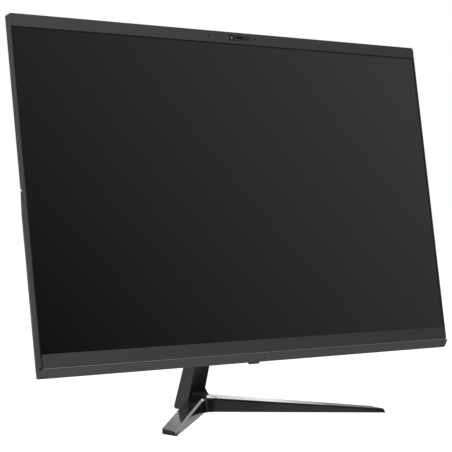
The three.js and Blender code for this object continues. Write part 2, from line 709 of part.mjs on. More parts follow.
function fanRotor() {
  const { x, v, w, wall, clear, rotorR, hubR, blades, vaneThick, vaneRoot, boreR, boreShort } = FAN;
  const depth = [w[0] + wall + clear, w[1] - wall - clear];
  const hub = bar('y', hubR, depth[0], depth[1], [0, 0], 32);
  const vanes = [];
  for (let i = 0; i < blades; i += 1) {
    const angle = (i / blades) * 2 * Math.PI;
    const vane = new THREE.BoxGeometry(rotorR - hubR + vaneRoot, depth[1] - depth[0], vaneThick);
    vane.translate((rotorR + hubR - vaneRoot) / 2, (depth[0] + depth[1]) / 2, 0);
    vane.rotateY(angle);
    vanes.push(solid(vane));
  }
  const bore = bar('y', boreR, depth[0] - PASS, depth[1] - boreShort, [0, 0], 16);
  return cut(join(hub, ...vanes), bore).translate([x, 0, v]);
}

const hardDrive = () => block(DRIVE.x, DRIVE.w, DRIVE.v);

function driveBracket() {
  const t = DRIVE.trayWall;
  const [x0, x1] = DRIVE.x;
  const [v0, v1] = DRIVE.v;
  const low = DRIVE.w[0] - GAP - t;
  const floor = block([x0 - GAP - t, x1 + GAP + t], [low, low + t], [v0, v1]);
  const left = block([x0 - GAP - t, x0 - GAP], [low, DRIVE.w[1]], [v0, v1]);
  const right = block([x1 + GAP, x1 + GAP + t], [low, DRIVE.w[1]], [v0, v1]);
  return join(floor, left, right);
}

function speaker(side) {
  const x = side > 0 ? SPEAKER.x : [-SPEAKER.x[1], -SPEAKER.x[0]];
  const back = SPEAKER.w[1];
  const middle = [(x[0] + x[1]) / 2, (SPEAKER.v[0] + SPEAKER.v[1]) / 2];
  const cone = bar('y', SPEAKER.coneR, back - SPEAKER.coneDeep, back + PASS, middle);
  return cut(block(x, SPEAKER.w, SPEAKER.v), cone);
}

// ---------------------------------------------------------------- display: sockets

const socketDepth = [IO.back, IO.mouth];

// A rectangular socket with a hollow, and a tongue across its middle where it has one.
function boxSocket(x, v, { half, hollow, deep, tongue }) {
  const body = blockAt(x, v, half[0], half[1], socketDepth);
  const mouth = blockAt(x, v, hollow[0], hollow[1], [IO.mouth - deep, IO.mouth + PASS]);
  const shell = cut(body, mouth);
  if (!tongue) return shell;
  const tongueDepth = [IO.mouth - deep - PASS, IO.mouth - INNER_SHORT];
  return join(shell, blockAt(x, v, hollow[0] - INNER_SHORT, tongue, tongueDepth));
}

// A round socket with an optional centre pin.
function roundSocket(x, v, { bore, deep, pin, half }) {
  const body = blockAt(x, v, half, half, socketDepth);
  const hole = bar('y', bore, IO.mouth - deep, IO.mouth + PASS, [x, v], 20);
  const shell = cut(body, hole);
  if (!pin) return shell;
  return join(shell, bar('y', pin, IO.mouth - deep - PASS, IO.mouth - INNER_SHORT, [x, v], 12));
}

const networkSocket = () => boxSocket(SOCKETS.network.x, IO.row, SOCKETS.network);
const hdmiSocket = () => boxSocket(SOCKETS.hdmi.x, IO.row, SOCKETS.hdmi);
const dcInlet = () => roundSocket(SOCKETS.dc.x, IO.row, SOCKETS.dc);
const audioSocket = () => roundSocket(SOCKETS.audio.x, IO.row, SOCKETS.audio);

// A shallow pan behind the housing's opening, pierced for each socket.
function ioPlate() {
  const pan = block(IO.x, IO.w, IO.v);
  const room = block(IO.opening[0], [IO.w[0] + IO.floor, IO.w[1] + PASS], IO.opening[1]);
  const hole = (x, v, halfX, halfV) => blockAt(x, v, halfX + GAP, halfV + GAP, [IO.w[0] - PASS, IO.w[1]]);
  const { dc, network, hdmi, usb, audio } = SOCKETS;
  const usbHoles = usb.columns.flatMap((x) => IO.rows.map((v) => hole(x, v, ...usb.half)));
  return cut(
    pan,
    room,
    hole(dc.x, IO.row, dc.half, dc.half),
    hole(network.x, IO.row, ...network.half),
    hole(hdmi.x, IO.row, ...hdmi.half),
    hole(audio.x, IO.row, audio.half, audio.half),
    ...usbHoles,
  );
}

// ---------------------------------------------------------------- display: power button

function powerButton() {
  const { w, half, capR, flange, low, flangeV } = BUTTON;
  const cap = slab(roundRect(symmetric(half[0]), around(w, half[1]), capR), [low, flangeV[1]], 5);
  return join(cap, block(symmetric(flange[0]), around(w, flange[1]), flangeV));
}

const powerSwitch = () => block(symmetric(SWITCH.half[0]), around(BUTTON.w, SWITCH.half[1]), SWITCH.v);
const lightPipe = () => bar('y', LIGHT.r, LIGHT.w[0], LIGHT.w[1], [LIGHT.x, LIGHT.v], 12);

// ---------------------------------------------------------------- assembly

const group = new THREE.Group();
const stand = new THREE.Group();
const display = new THREE.Group();
stand.position.y = SHIFT_Y;
display.position.set(0, SHIFT_Y, CHIN_HEIGHT_ABOVE_FLOOR);
display.rotation.x = -LEAN;
group.add(stand, display);

function place(parent, name, body, material) {
  const mesh = new THREE.Mesh(geometryOf(body), material);
  mesh.name = name;
  parent.add(mesh);
}

place(stand, 'foot', foot(), FINISH.darkChrome);
place(stand, 'foot_pad_left', footPad(-1), FINISH.rubber);
place(stand, 'foot_pad_right', footPad(1), FINISH.rubber);
place(stand, 'foot_pad_rear', rearPad(), FINISH.rubber);
place(stand, 'base_screw_left', baseScrew(-1), FINISH.steel);
place(stand, 'base_screw_right', baseScrew(1), FINISH.steel);
place(stand, 'neck_shell', neckShell(), FINISH.neckGloss);
place(stand, 'neck_core', neckCore(), FINISH.steel);
place(stand, 'neck_rear_cover', neckRearCover(), FINISH.neckGloss);
place(stand, 'hinge_pin', hingePin(), FINISH.steel);
place(stand, 'hinge_nut', hingeNut(), FINISH.steel);
place(stand, 'friction_washer_left', frictionWasher(-1), FINISH.steel);
place(stand, 'friction_washer_right', frictionWasher(1), FINISH.steel);

place(display, 'front_frame', frontFrame(), FINISH.brushedBezel);
place(display, 'chin_bezel', chinBezel(), FINISH.brushedBezel);
place(display, 'chin_lower_strip', chinLowerStrip(), FINISH.bevelBand);
place(display, 'lcd_glass', lcdGlass(), FINISH.screen);
place(display, 'lcd_light_guide', lightGuide(), FINISH.clear);
place(display, 'lcd_rear_tray', rearTray(), FINISH.steel);
place(display, 'lcd_driver_board', driverBoard(), FINISH.board);
place(display, 'panel_cable', panelCable(), FINISH.blackPlastic);

place(display, 'camera_window', cameraWindow(), FINISH.clear);
place(display, 'camera_lens', cameraLens(), FINISH.chip);
place(display, 'camera_board', cameraBoard(), FINISH.board);
place(display, 'camera_light', cameraLight(), FINISH.clear);
place(display, 'camera_shutter', cameraShutter(), FINISH.blackPlastic);
place(display, 'microphone_left', microphone(CAMERA.micX[0]), FINISH.aluminium);
place(display, 'microphone_right', microphone(CAMERA.micX[1]), FINISH.aluminium);

place(display, 'rear_cover', rearCover(), FINISH.cover);
place(display, 'rear_housing', rearHousing(), FINISH.cover);
place(display, 'hinge_bracket', hingeBracket(), FINISH.steel);
place(display, 'hinge_shroud', hingeShroud(), FINISH.cover);

place(display, 'chassis_plate', chassisPlate(), FINISH.aluminium);
place(display, 'motherboard', motherboard(), FINISH.board);
place(display, 'processor', processor(), FINISH.chip);
place(display, 'cold_plate', coldPlate(), FINISH.copper);
place(display, 'heat_pipe', heatPipe(), FINISH.copper);
place(display, 'radiator_fins', radiatorFins(), FINISH.aluminium);
place(display, 'fan_housing', fanHousing(), FINISH.blackPlastic);
place(display, 'fan_rotor', fanRotor(), FINISH.blackPlastic);
MEMORY.rows.forEach((row, i) => place(display, `memory_module_${i + 1}`, memoryModule(row), FINISH.board));
place(display, 'ssd_module', ssdModule(), FINISH.chip);
place(display, 'wireless_card', wirelessCard(), FINISH.board);
place(display, 'hard_drive', hardDrive(), FINISH.aluminium);
place(display, 'hard_drive_bracket', driveBracket(), FINISH.steel);
place(display, 'speaker_left', speaker(-1), FINISH.blackPlastic);
place(display, 'speaker_right', speaker(1), FINISH.blackPlastic);

place(display, 'io_plate', ioPlate(), FINISH.blackPlastic);
place(display, 'dc_inlet', dcInlet(), FINISH.blackPlastic);
place(display, 'network_socket', networkSocket(), FINISH.aluminium);
place(display, 'hdmi_socket', hdmiSocket(), FINISH.aluminium);
const usbPlaces = SOCKETS.usb.columns.flatMap((x) => IO.rows.map((v) => [x, v]));
usbPlaces.forEach(([x, v], i) => {
  place(display, `usb_socket_${i + 1}`, boxSocket(x, v, SOCKETS.usb), FINISH.aluminium);
});
place(display, 'audio_socket', audioSocket(), FINISH.blackPlastic);

place(display, 'power_button', powerButton(), FINISH.blackPlastic);
place(display, 'power_switch', powerSwitch(), FINISH.blackPlastic);
place(display, 'power_light_pipe', lightPipe(), FINISH.clear);

export default group;
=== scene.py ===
"""An all-in-one desktop computer: finishes and fine meshes built round its fixed frame.

Lengths are in metres. The frame says where each part is, and this file how each part looks.
"""

from __future__ import annotations

import json  # noqa: E402
import logging  # noqa: E402
import math  # noqa: E402
from collections.abc import Iterable, Mapping, Sequence  # noqa: E402
from dataclasses import dataclass, field  # noqa: E402
from enum import Enum  # noqa: E402
from typing import Any, Union  # noqa: E402

import bmesh  # noqa: E402
import bpy  # noqa: E402
from mathutils import Matrix, Vector  # noqa: E402


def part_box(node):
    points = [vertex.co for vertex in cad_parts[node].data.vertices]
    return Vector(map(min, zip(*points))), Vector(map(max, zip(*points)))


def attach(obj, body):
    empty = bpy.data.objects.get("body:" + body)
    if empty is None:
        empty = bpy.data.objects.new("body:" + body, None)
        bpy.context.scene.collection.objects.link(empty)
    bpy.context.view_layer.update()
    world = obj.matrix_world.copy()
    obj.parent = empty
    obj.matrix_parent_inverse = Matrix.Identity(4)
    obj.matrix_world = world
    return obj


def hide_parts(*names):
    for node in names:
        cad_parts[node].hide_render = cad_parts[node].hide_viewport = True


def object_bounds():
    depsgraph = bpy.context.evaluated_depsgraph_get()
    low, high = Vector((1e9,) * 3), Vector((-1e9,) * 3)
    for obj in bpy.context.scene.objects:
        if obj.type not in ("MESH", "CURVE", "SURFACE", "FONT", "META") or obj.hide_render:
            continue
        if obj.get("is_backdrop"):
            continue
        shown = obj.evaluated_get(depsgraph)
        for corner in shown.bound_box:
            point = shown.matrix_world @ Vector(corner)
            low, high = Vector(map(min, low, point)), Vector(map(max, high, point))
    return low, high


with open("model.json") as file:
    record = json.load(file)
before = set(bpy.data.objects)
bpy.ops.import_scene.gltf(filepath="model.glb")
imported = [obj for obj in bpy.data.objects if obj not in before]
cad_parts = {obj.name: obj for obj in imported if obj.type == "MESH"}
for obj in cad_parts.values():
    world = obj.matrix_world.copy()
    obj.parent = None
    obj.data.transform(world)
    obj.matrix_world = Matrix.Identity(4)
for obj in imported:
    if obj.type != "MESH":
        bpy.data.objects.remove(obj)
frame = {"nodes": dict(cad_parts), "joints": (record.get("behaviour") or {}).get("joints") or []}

LOG = logging.getLogger("all_in_one")
MM = 0.001
SAME_POINT = 1e-7
FLAT_ANGLE = math.radians(0.4)
HULL_ANGLE = math.radians(1.0)
SHARP_ANGLE = math.radians(50.0)
QUARTER = math.pi / 2
FORWARD = -0.9

Colour = tuple[float, float, float]
Value = Union[float, Colour, "Sock"]


class Body(Enum):
    """The moving bodies that a piece can ride on."""

    STAND = "stand"
    DISPLAY = "display"
    SHUTTER = "shutter"
    BUTTON = "button"
    FAN = "fan"


class Axis(Enum):
    """A direction that a pattern runs along, in the row frame."""

    X = 0
    Y = 1
    Z = 2


# ---------------------------------------------------------------- shader expressions


class Sock:
    """An output socket on which Python's operators add Math nodes."""

    def __init__(self, graph: Graph, socket: bpy.types.NodeSocket) -> None:
        """Keeps the socket and the graph that it belongs to."""
        self.graph = graph
        self.socket = socket

    def _math(self, operation: str, first: Value, second: Value) -> Sock:
        """Adds one Math node and returns its output."""
        return self.graph.add("ShaderNodeMath", {"operation": operation}, {0: first, 1: second})

    def __add__(self, other: Value) -> Sock:
        """Returns self + other."""
        return self._math("ADD", self, other)

    def __radd__(self, other: Value) -> Sock:
        """Returns other + self."""
        return self._math("ADD", other, self)

    def __sub__(self, other: Value) -> Sock:
        """Returns self - other."""
        return self._math("SUBTRACT", self, other)

    def __rsub__(self, other: Value) -> Sock:
        """Returns other - self."""
        return self._math("SUBTRACT", other, self)

    def __mul__(self, other: Value) -> Sock:
        """Returns self * other."""
        return self._math("MULTIPLY", self, other)

    def __rmul__(self, other: Value) -> Sock:
        """Returns other * self."""
        return self._math("MULTIPLY", other, self)

    def __pow__(self, other: Value) -> Sock:
        """Returns self to the power of other."""
        return self._math("POWER", self, other)

    def at_least(self, low: Value) -> Sock:
        """Returns the larger of self and low."""
        return self._math("MAXIMUM", self, low)

    def at_most(self, high: Value) -> Sock:
        """Returns the smaller of self and high."""
        return self._math("MINIMUM", self, high)

    def folded(self, size: Value) -> Sock:
        """Returns self folded back and forth between 0 and a size."""
        return self._math("PINGPONG", self, size)


class Graph:
    """A node tree that is written as expressions."""

    def __init__(self, tree: bpy.types.NodeTree) -> None:
        """Empties the tree and keeps it."""
        self.tree = tree
        tree.nodes.clear()

    def add(
        self,
        kind: str,
        settings: Mapping[str, Any] | None = None,
        inputs: Mapping[str | int, Value] | None = None,
        output: str | int = 0,
    ) -> Sock:
        """Adds a node.

        Args:
            kind: The node's type name.
            settings: Its own settings, set before its sockets. "stops" fills a colour ramp.
            inputs: A number, colour or link for each socket that isn't left alone.
            output: Which output socket is wanted.

        Returns:
            The wanted output.
        """
        node = self.tree.nodes.new(kind)
        for key, value in (settings or {}).items():
            if key == "stops":
                self._fill_ramp(node.color_ramp, value)
            else:
                setattr(node, key, value)
        for key, value in (inputs or {}).items():
            if isinstance(value, Sock):
                self.tree.links.new(value.socket, node.inputs[key])
            elif isinstance(value, tuple) and len(node.inputs[key].default_value) == 4:
                node.inputs[key].default_value = (*value, 1.0)
            else:
                node.inputs[key].default_value = value
        return Sock(self, node.outputs[output] if node.outputs else node.inputs[0])

    @staticmethod
    def _fill_ramp(ramp: bpy.types.ColorRamp, stops: Sequence[tuple[float, float]]) -> None:
        """Gives a ramp its grey stops.

        Args:
            ramp: The ramp.
            stops: Its stops, as (position, brightness).
        """
        while len(ramp.elements) < len(stops):
            ramp.elements.new(1.0)
        for element, (position, grey) in zip(ramp.elements, stops):
            element.position = position
            element.color = (grey, grey, grey, 1.0)

    def place(self, scale: Colour = (1.0, 1.0, 1.0)) -> Sock:
        """Returns the piece's own coordinates in metres, stretched by a scale."""
        own = self.add("ShaderNodeTexCoord", output="Object")
        return self.add("ShaderNodeVectorMath", {"operation": "MULTIPLY"}, {0: own, 1: scale})

    def noise(self, where: Sock, scale: float, detail: float = 2.0, rough: float = 0.5) -> Sock:
        """Returns cloudy noise around 0.5 at a scale, in lumps per metre."""
        inputs = {"Vector": where, "Scale": scale, "Detail": detail, "Roughness": rough}
        return self.add("ShaderNodeTexNoise", {}, inputs)

    def cells(self, where: Sock, scale: float, feature: str = "F1") -> Sock:
        """Returns the distance to the nearest of scattered points, in cells per metre."""
        inputs = {"Vector": where, "Scale": scale}
        return self.add("ShaderNodeTexVoronoi", {"feature": feature}, inputs)

    def ramp(self, value: Sock, *stops: tuple[float, float]) -> Sock:
        """Returns a value sent through a grey ramp of (position, brightness) stops."""
        return self.add("ShaderNodeValToRGB", {"stops": stops}, {"Fac": value})

    def blend(self, share: Value, first: Value, second: Value) -> Sock:
        """Returns a colour between two, by a share of the second."""
        inputs = {0: share, 6: first, 7: second}
        return self.add("ShaderNodeMix", {"data_type": "RGBA"}, inputs, 2)

    def bump(self, height: Sock, depth: float, strength: float = 1.0) -> Sock:
        """Returns a normal raised by a height of up to a depth in metres."""
        inputs = {"Height": height, "Distance": depth, "Strength": strength}
        return self.add("ShaderNodeBump", {}, inputs)


# ---------------------------------------------------------------- finishes


def scaled(colour: Colour, share: float) -> Colour:
    """Returns a colour made lighter or darker by a share."""
    return tuple(min(1.0, part * share) for part in colour)


@dataclass(frozen=True)
class Finish:
    """A surface that changes a little from place to place; each kind adds its own detail."""

    name: str
    slot: str
    colour: Colour
    rough: float
    metallic: float = 0.0
    ior: float = 1.5
    tones: tuple[float, float] = (1.0, 1.0)

    def material(self) -> bpy.types.Material:
        """Makes the finish's one material at its first use.

        Returns:
            The material.
        """
        found = bpy.data.materials.get(self.name)
        if found:
            return found
        made = bpy.data.materials.new(self.name)
        made.use_nodes = True
        graph = Graph(made.node_tree)
        inputs = {"Metallic": self.metallic, "IOR": self.ior, "Base Color": self.colour}
        inputs.update({"Roughness": self.rough})
        inputs.update(self.detail(graph))
        shader = graph.add("ShaderNodeBsdfPrincipled", {}, inputs)
        graph.add("ShaderNodeOutputMaterial", {}, {"Surface": shader})
        return made

    def detail(self, graph: Graph) -> dict[str, Value]:
        """Returns the sockets that differ from the plain surface, with faint clouding at first."""
        cloud = graph.noise(graph.place(), 90.0)
        return {"Roughness": self.rough * (0.85 + cloud * 0.3)}

    def shaded(self, graph: Graph, share: Value) -> Sock:
        """Returns the colour between its darker and its lighter tone, by a share of the lighter."""
        dark, light = (scaled(self.colour, tone) for tone in self.tones)
        return graph.blend(share, dark, light)


@dataclass(frozen=True)
class Hairline(Finish):
    """A surface drawn with fine straight lines along one axis."""

    along: Axis = Axis.X
    pitch: float = 0.35 * MM
    stretch: float = 160.0
    depth: float = 0.02 * MM
    tones: tuple[float, float] = (0.72, 1.3)

    def detail(self, graph: Graph) -> dict[str, Value]:
        """Makes long thin streaks in colour, roughness and height.

        Args:
            graph: The material's tree.

        Returns:
            The socket values by name.
        """
        across = 1.0 / self.pitch
        scale = [across] * 3
        scale[self.along.value] = across / self.stretch
        where = graph.place(tuple(scale))
        lines = graph.noise(where, 1.0, 3.0, 0.65)
        bands = graph.noise(where, 0.18, 2.0)
        cloud = graph.noise(graph.place(), 22.0)
        tone = (lines * 0.6 + bands * 0.4).at_most(1.0)
        return {
            "Base Color": self.shaded(graph, tone),
            "Roughness": self.rough * (0.75 + lines * 0.35 + cloud * 0.15),
            "Normal": graph.bump(lines, self.depth),
        }


@dataclass(frozen=True)
class Pebble(Finish):
    """Moulded plastic with a fine, shallow spark-eroded grain."""

    grain: float = 0.45 * MM
    depth: float = 0.035 * MM
    tones: tuple[float, float] = (0.86, 1.14)

    def detail(self, graph: Graph) -> dict[str, Value]:
        """Makes pebbles in height, with a little tone and gloss between them.

        Args:
            graph: The material's tree.

        Returns:
            The socket values by name.
        """
        where = graph.place()
        pebbles = graph.cells(where, 1.0 / self.grain, "SMOOTH_F1")
        fine = graph.noise(where, 2.2 / self.grain, 3.0)
        cloud = graph.noise(where, 14.0)
        height = pebbles * 0.7 + fine * 0.3
        return {
            "Base Color": self.shaded(graph, cloud),
            "Roughness": self.rough * (0.9 + fine * 0.2),
            "Normal": graph.bump(height, self.depth),
        }


@dataclass(frozen=True)
class Polish(Finish):
    """A polished coat with faint waviness and the soft smears that hands and cloths leave."""

    wave: float = 5.0 * MM
    depth: float = 0.004 * MM
    smear: float = 0.35
    tones: tuple[float, float] = (1.0, 4.0)

    def detail(self, graph: Graph) -> dict[str, Value]:
        """Makes smears in roughness and a slow wave in the surface.

        Args:
            graph: The material's tree.

        Returns:
            The socket values by name.
        """
        where = graph.place()
        wiped = graph.noise(graph.place((1.0, 1.6, 1.0)), 45.0, 5.0, 0.6)
        smears = graph.ramp(wiped, (0.45, 0.0), (0.8, 1.0))
        waves = graph.noise(where, 1.0 / self.wave, 1.0)
        specks = graph.ramp(graph.cells(where, 700.0), (0.0, 1.0), (0.04, 0.0))
        return {
            "Base Color": self.shaded(graph, specks * 0.25),
            "Roughness": self.rough * (1.0 + smears * self.smear) + specks * 0.1,
            "Normal": graph.bump(waves, self.depth),
        }


@dataclass(frozen=True)
class Satin(Finish):
    """Painted or plated metal with a fine even tooth and rubbed patches."""

    tooth: float = 0.25 * MM
    depth: float = 0.012 * MM
    tones: tuple[float, float] = (0.85, 1.15)

    def detail(self, graph: Graph) -> dict[str, Value]:
        """Makes a fine tooth in height and slow patches in gloss and tone.

        Args:
            graph: The material's tree.

        Returns:
            The socket values by name.
        """
        where = graph.place()
        tooth = graph.noise(where, 1.0 / self.tooth, 4.0, 0.7)
        patch = graph.noise(where, 30.0, 3.0)
        return {
            "Base Color": self.shaded(graph, patch),
            "Roughness": self.rough * (0.8 + patch * 0.25 + tooth * 0.15),
            "Normal": graph.bump(tooth, self.depth),
        }


@dataclass(frozen=True)
class AntiGlare(Finish):
    """A display's front: near black, with the fine etch that blurs what it mirrors."""

    etch: float = 0.18 * MM
    depth: float = 0.002 * MM

    def detail(self, graph: Graph) -> dict[str, Value]:
        """Makes the etch in height and a slow drift in its gloss.

        Args:
            graph: The material's tree.

        Returns:
            The socket values by name.
        """
        where = graph.place()
        etch = graph.noise(where, 1.0 / self.etch, 2.0)
        drift = graph.noise(where, 5.0)
        return {
            "Roughness": self.rough * (0.95 + drift * 0.1),
            "Normal": graph.bump(etch, self.depth),
        }


@dataclass(frozen=True)
class Laminate(Finish):
    """A circuit board's solder mask, with tracks just proud under it and tinned pads."""

    track: float = 0.9 * MM
    depth: float = 0.03 * MM
    pad: Colour = (0.62, 0.55, 0.36)
    tones: tuple[float, float] = (0.75, 1.5)

    def detail(self, graph: Graph) -> dict[str, Value]:
        """Makes tracks in tone and height, and pads in metal.

        Args:
            graph: The material's tree.

        Returns:
            The socket values by name.
        """
        where = graph.place()
        cells = graph.add(
            "ShaderNodeTexVoronoi",
            {"distance": "CHEBYCHEV"},
            {"Vector": where, "Scale": 0.12 / self.track},
        )
        tracks = graph.ramp((cells * 9.0).folded(1.0), (0.45, 0.0), (0.55, 1.0))
        pads = graph.ramp(graph.cells(where, 0.3 / self.track), (0.12, 1.0), (0.16, 0.0))
        return {
            "Base Color": graph.blend(pads, self.shaded(graph, tracks), self.pad),
            "Metallic": pads,
            "Roughness": self.rough * (1.0 - pads * 0.3),
            "Normal": graph.bump(tracks + pads * 0.5, self.depth),
        }


@dataclass(frozen=True)
class Clear(Finish):
    """Clear moulded plastic or glass."""

    def detail(self, graph: Graph) -> dict[str, Value]:
        """Returns a clear body with a faint mould texture."""
        cloud = graph.noise(graph.place(), 400.0)
        return {"Transmission Weight": 1.0, "Roughness": self.rough * (0.7 + cloud * 0.6)}


BEZEL = Hairline("bezel_hairline", "bezel_plastic", (0.0312, 0.0315, 0.0323), 0.5, ior=1.22)
# Bright metal on the chin bar's cut edge: partly a real cut edge, partly a painted highlight for
# the light line the edge catches.
CUT_EDGE_WITH_HIGHLIGHT = Satin("cut_edge_painted_highlight", "bezel_plastic", (0.5, 0.5, 0.51), 0.35, metallic=0.8)
BAND = Hairline("bevel_band_hairline", "bevel_band", (0.047, 0.0474, 0.0484), 0.45, ior=1.4)
SCREEN = AntiGlare("screen_anti_glare", "screen_glass", (0.0008, 0.0008, 0.0008), 0.13, ior=1.52)
COVER = Pebble("cover_grain", "cover_plastic", (0.024, 0.0243, 0.0252), 0.5, ior=1.4)
FOOT_COAT = Polish("foot_polished_coat", "foot_metal", (0.012, 0.012, 0.0123), 0.08, ior=1.6)
TOE_FACE = Satin("foot_toe_face", "foot_metal", (0.012, 0.012, 0.012), 0.55, ior=1.3)
NECK_GLOSS = Polish("neck_front_gloss", "neck_metal", (0.008, 0.008, 0.0084), 0.2)
NECK_SATIN = Satin("neck_side_satin", "neck_metal", (0.045, 0.045, 0.046), 0.36)
STEEL = Satin("bright_steel", "steel", (0.42, 0.43, 0.44), 0.34, metallic=1.0)
RUBBER = Pebble("soft_rubber", "rubber", (0.014, 0.014, 0.014), 0.82, grain=0.3 * MM)
# Near black: the lens's real black ring, and painted shade on the glass's rim, the chin bar's ends,
# the shutter slot's outline and the sound and light holes.
BLACK_RIM_AND_SHADE = Pebble("black_rim_and_painted_shade", "rubber", (0.003, 0.003, 0.003), 0.9, grain=0.3 * MM)
DIFFUSER = Satin("light_guide_diffuser", "light_guide", (0.75, 0.77, 0.78), 0.3)
CLEAR = Clear("clear_moulding", "clear_plastic", (0.95, 0.96, 0.97), 0.06)
BOARD = Laminate("board_laminate", "circuit_board", (0.012, 0.06, 0.028), 0.42)
CHIP = Pebble("chip_resin", "chip", (0.018, 0.018, 0.019), 0.5, grain=0.2 * MM)
TINTED = Polish("tinted_window", "clear_plastic", (0.008, 0.008, 0.01), 0.06, ior=1.55)
LENS = Polish("lens_glass", "chip", (0.01, 0.012, 0.02), 0.05, ior=1.7)
COPPER = Hairline("drawn_copper", "copper", (0.62, 0.26, 0.13), 0.28, metallic=1.0)
ALUMINIUM = Hairline("rolled_aluminium", "aluminium", (0.58, 0.59, 0.6), 0.36, metallic=1.0)
SHELL = Satin("socket_shell_plate", "socket_shell", (0.55, 0.55, 0.54), 0.3, metallic=1.0)
MOULDING = Pebble("black_moulding", "black_plastic", (0.012, 0.012, 0.0125), 0.45, grain=0.35 * MM)


# ---------------------------------------------------------------- meshes and pieces


@dataclass(frozen=True)
class Rounding:
    """How a piece's sharp edges are eased: those that turn by more than the least angle."""

    width: float
    segments: int = 2
    least_angle: float = 24.0


HAIR = Rounding(0.1 * MM)
CRISP = Rounding(0.15 * MM)
THIN = Rounding(0.2 * MM)
GLASS_EDGE = Rounding(0.25 * MM)
SOFT = Rounding(0.3 * MM)


def solid_of(node: str) -> bmesh.types.BMesh:
    """Copies a frame node's solid, with its flat faces whole again.

    Args:
        node: The frame node's name.

    Returns:
        A new mesh that the caller frees.
    """
    source = frame["nodes"][node].data
    bm = bmesh.new()
    corners = [bm.verts.new(v.co) for v in source.vertices]
    for polygon in source.polygons:
        bm.faces.new([corners[i] for i in polygon.vertices])
    bmesh.ops.remove_doubles(bm, verts=bm.verts, dist=SAME_POINT)
    bmesh.ops.dissolve_limit(bm, angle_limit=FLAT_ANGLE, verts=bm.verts, edges=bm.edges)
    bmesh.ops.recalc_face_normals(bm, faces=bm.faces)
    return bm


def ease_edges(bm: bmesh.types.BMesh, rounding: Rounding) -> None:
    """Rounds a mesh's sharp edges.

    Args:
        bm: The mesh.
        rounding: How they are rounded, and which.
    """
    least = math.radians(rounding.least_angle)
    sharp = [e for e in bm.edges if len(e.link_faces) == 2 and e.calc_face_angle(0.0) > least]
    bmesh.ops.bevel(
        bm,
        geom=sharp,
        offset=rounding.width,
        offset_type="OFFSET",
        segments=rounding.segments,
        profile=0.5,
        affect="EDGES",
        clamp_overlap=True,
    )


def finish_piece(
    name: str,
    bm: bmesh.types.BMesh,
    body: Body,
    finishes: Sequence[Finish],
    stands_for: Iterable[str] = (),
) -> bpy.types.Object:
    """Turns a mesh into a piece of the object.

    Args:
        name: The piece's name.
        bm: Its mesh, in the row frame. It is freed here.
        body: What the piece moves with.
        finishes: The piece's finishes, in the order of its faces' material numbers.
        stands_for: The frame nodes that the piece takes the place of.

    Returns:
        The new object.
    """
    mesh = bpy.data.meshes.new(name)
    for face in bm.faces:
        face.smooth = True
    bm.to_mesh(mesh)
    bm.free()
    for finish in finishes:
        mesh.materials.append(finish.material())
    mesh.set_sharp_from_angle(angle=SHARP_ANGLE)
    piece = bpy.data.objects.new(name, mesh)
    bpy.context.scene.collection.objects.link(piece)
    normals = piece.modifiers.new("face_normals", "WEIGHTED_NORMAL")
    normals.keep_sharp = True
    nodes = list(stands_for)
    if nodes:
        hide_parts(*nodes)
    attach(piece, body.value)
    LOG.info("%s: %d faces", name, len(mesh.polygons))
    return piece


def eased_copy(node: str, body: Body, finish: Finish, rounding: Rounding) -> bpy.types.Object:
    """Stands a copy of a frame node with eased edges in for it.

    Args:
        node: The frame node's name.
        body: What the piece moves with.
        finish: Its finish.
        rounding: How its edges are eased.

    Returns:
        The new piece.
    """
    bm = solid_of(node)
    ease_edges(bm, rounding)
    return finish_piece(f"{node}_eased", bm, body, [finish], [node])


def loft(rings: Sequence[Sequence[Vector]]) -> bmesh.types.BMesh:
    """Joins closed rings of equally many points into a capped solid.

    Args:
        rings: The cross-sections, in order.

    Returns:
        A new mesh that the caller frees.
    """
    bm = bmesh.new()
    rows = [[bm.verts.new(p) for p in ring] for ring in rings]
    for near, far in zip(rows, rows[1:]):
        for i in range(len(near)):
            j = (i + 1) % len(near)
            bm.faces.new((near[i], near[j], far[j], far[i]))
    bm.faces.new(rows[0])
    bm.faces.new(rows[-1])
    bmesh.ops.recalc_face_normals(bm, faces=bm.faces)
    return bm


def room_for(node: str, grow: float, below: float = math.inf) -> bmesh.types.BMesh:
    """Makes the solid that wraps a node, or its lower part, with some air round it.

    Args:
        node: The frame node's name.
        grow: The air on every side.
        below: The height under which the node's points count.

    Returns:
        A new mesh that the caller frees.
    """
    bm = bmesh.new()
    for vertex in frame["nodes"][node].data.vertices:
        if vertex.co.z < below:
            bm.verts.new(vertex.co)
    bmesh.ops.remove_doubles(bm, verts=bm.verts, dist=SAME_POINT)
    made = bmesh.ops.convex_hull(bm, input=bm.verts)
    loose = {*made["geom_interior"], *made["geom_unused"]}
    spare = [part for part in loose if isinstance(part, bmesh.types.BMVert)]
    bmesh.ops.delete(bm, geom=spare, context="VERTS")
    bmesh.ops.dissolve_limit(bm, angle_limit=HULL_ANGLE, verts=bm.verts, edges=bm.edges)
    bmesh.ops.recalc_face_normals(bm, faces=bm.faces)
    bm.normal_update()
    moves = [(v, v.normal * v.calc_shell_factor() * grow) for v in bm.verts]
    for vertex, move in moves:
        vertex.co += move
    return bm


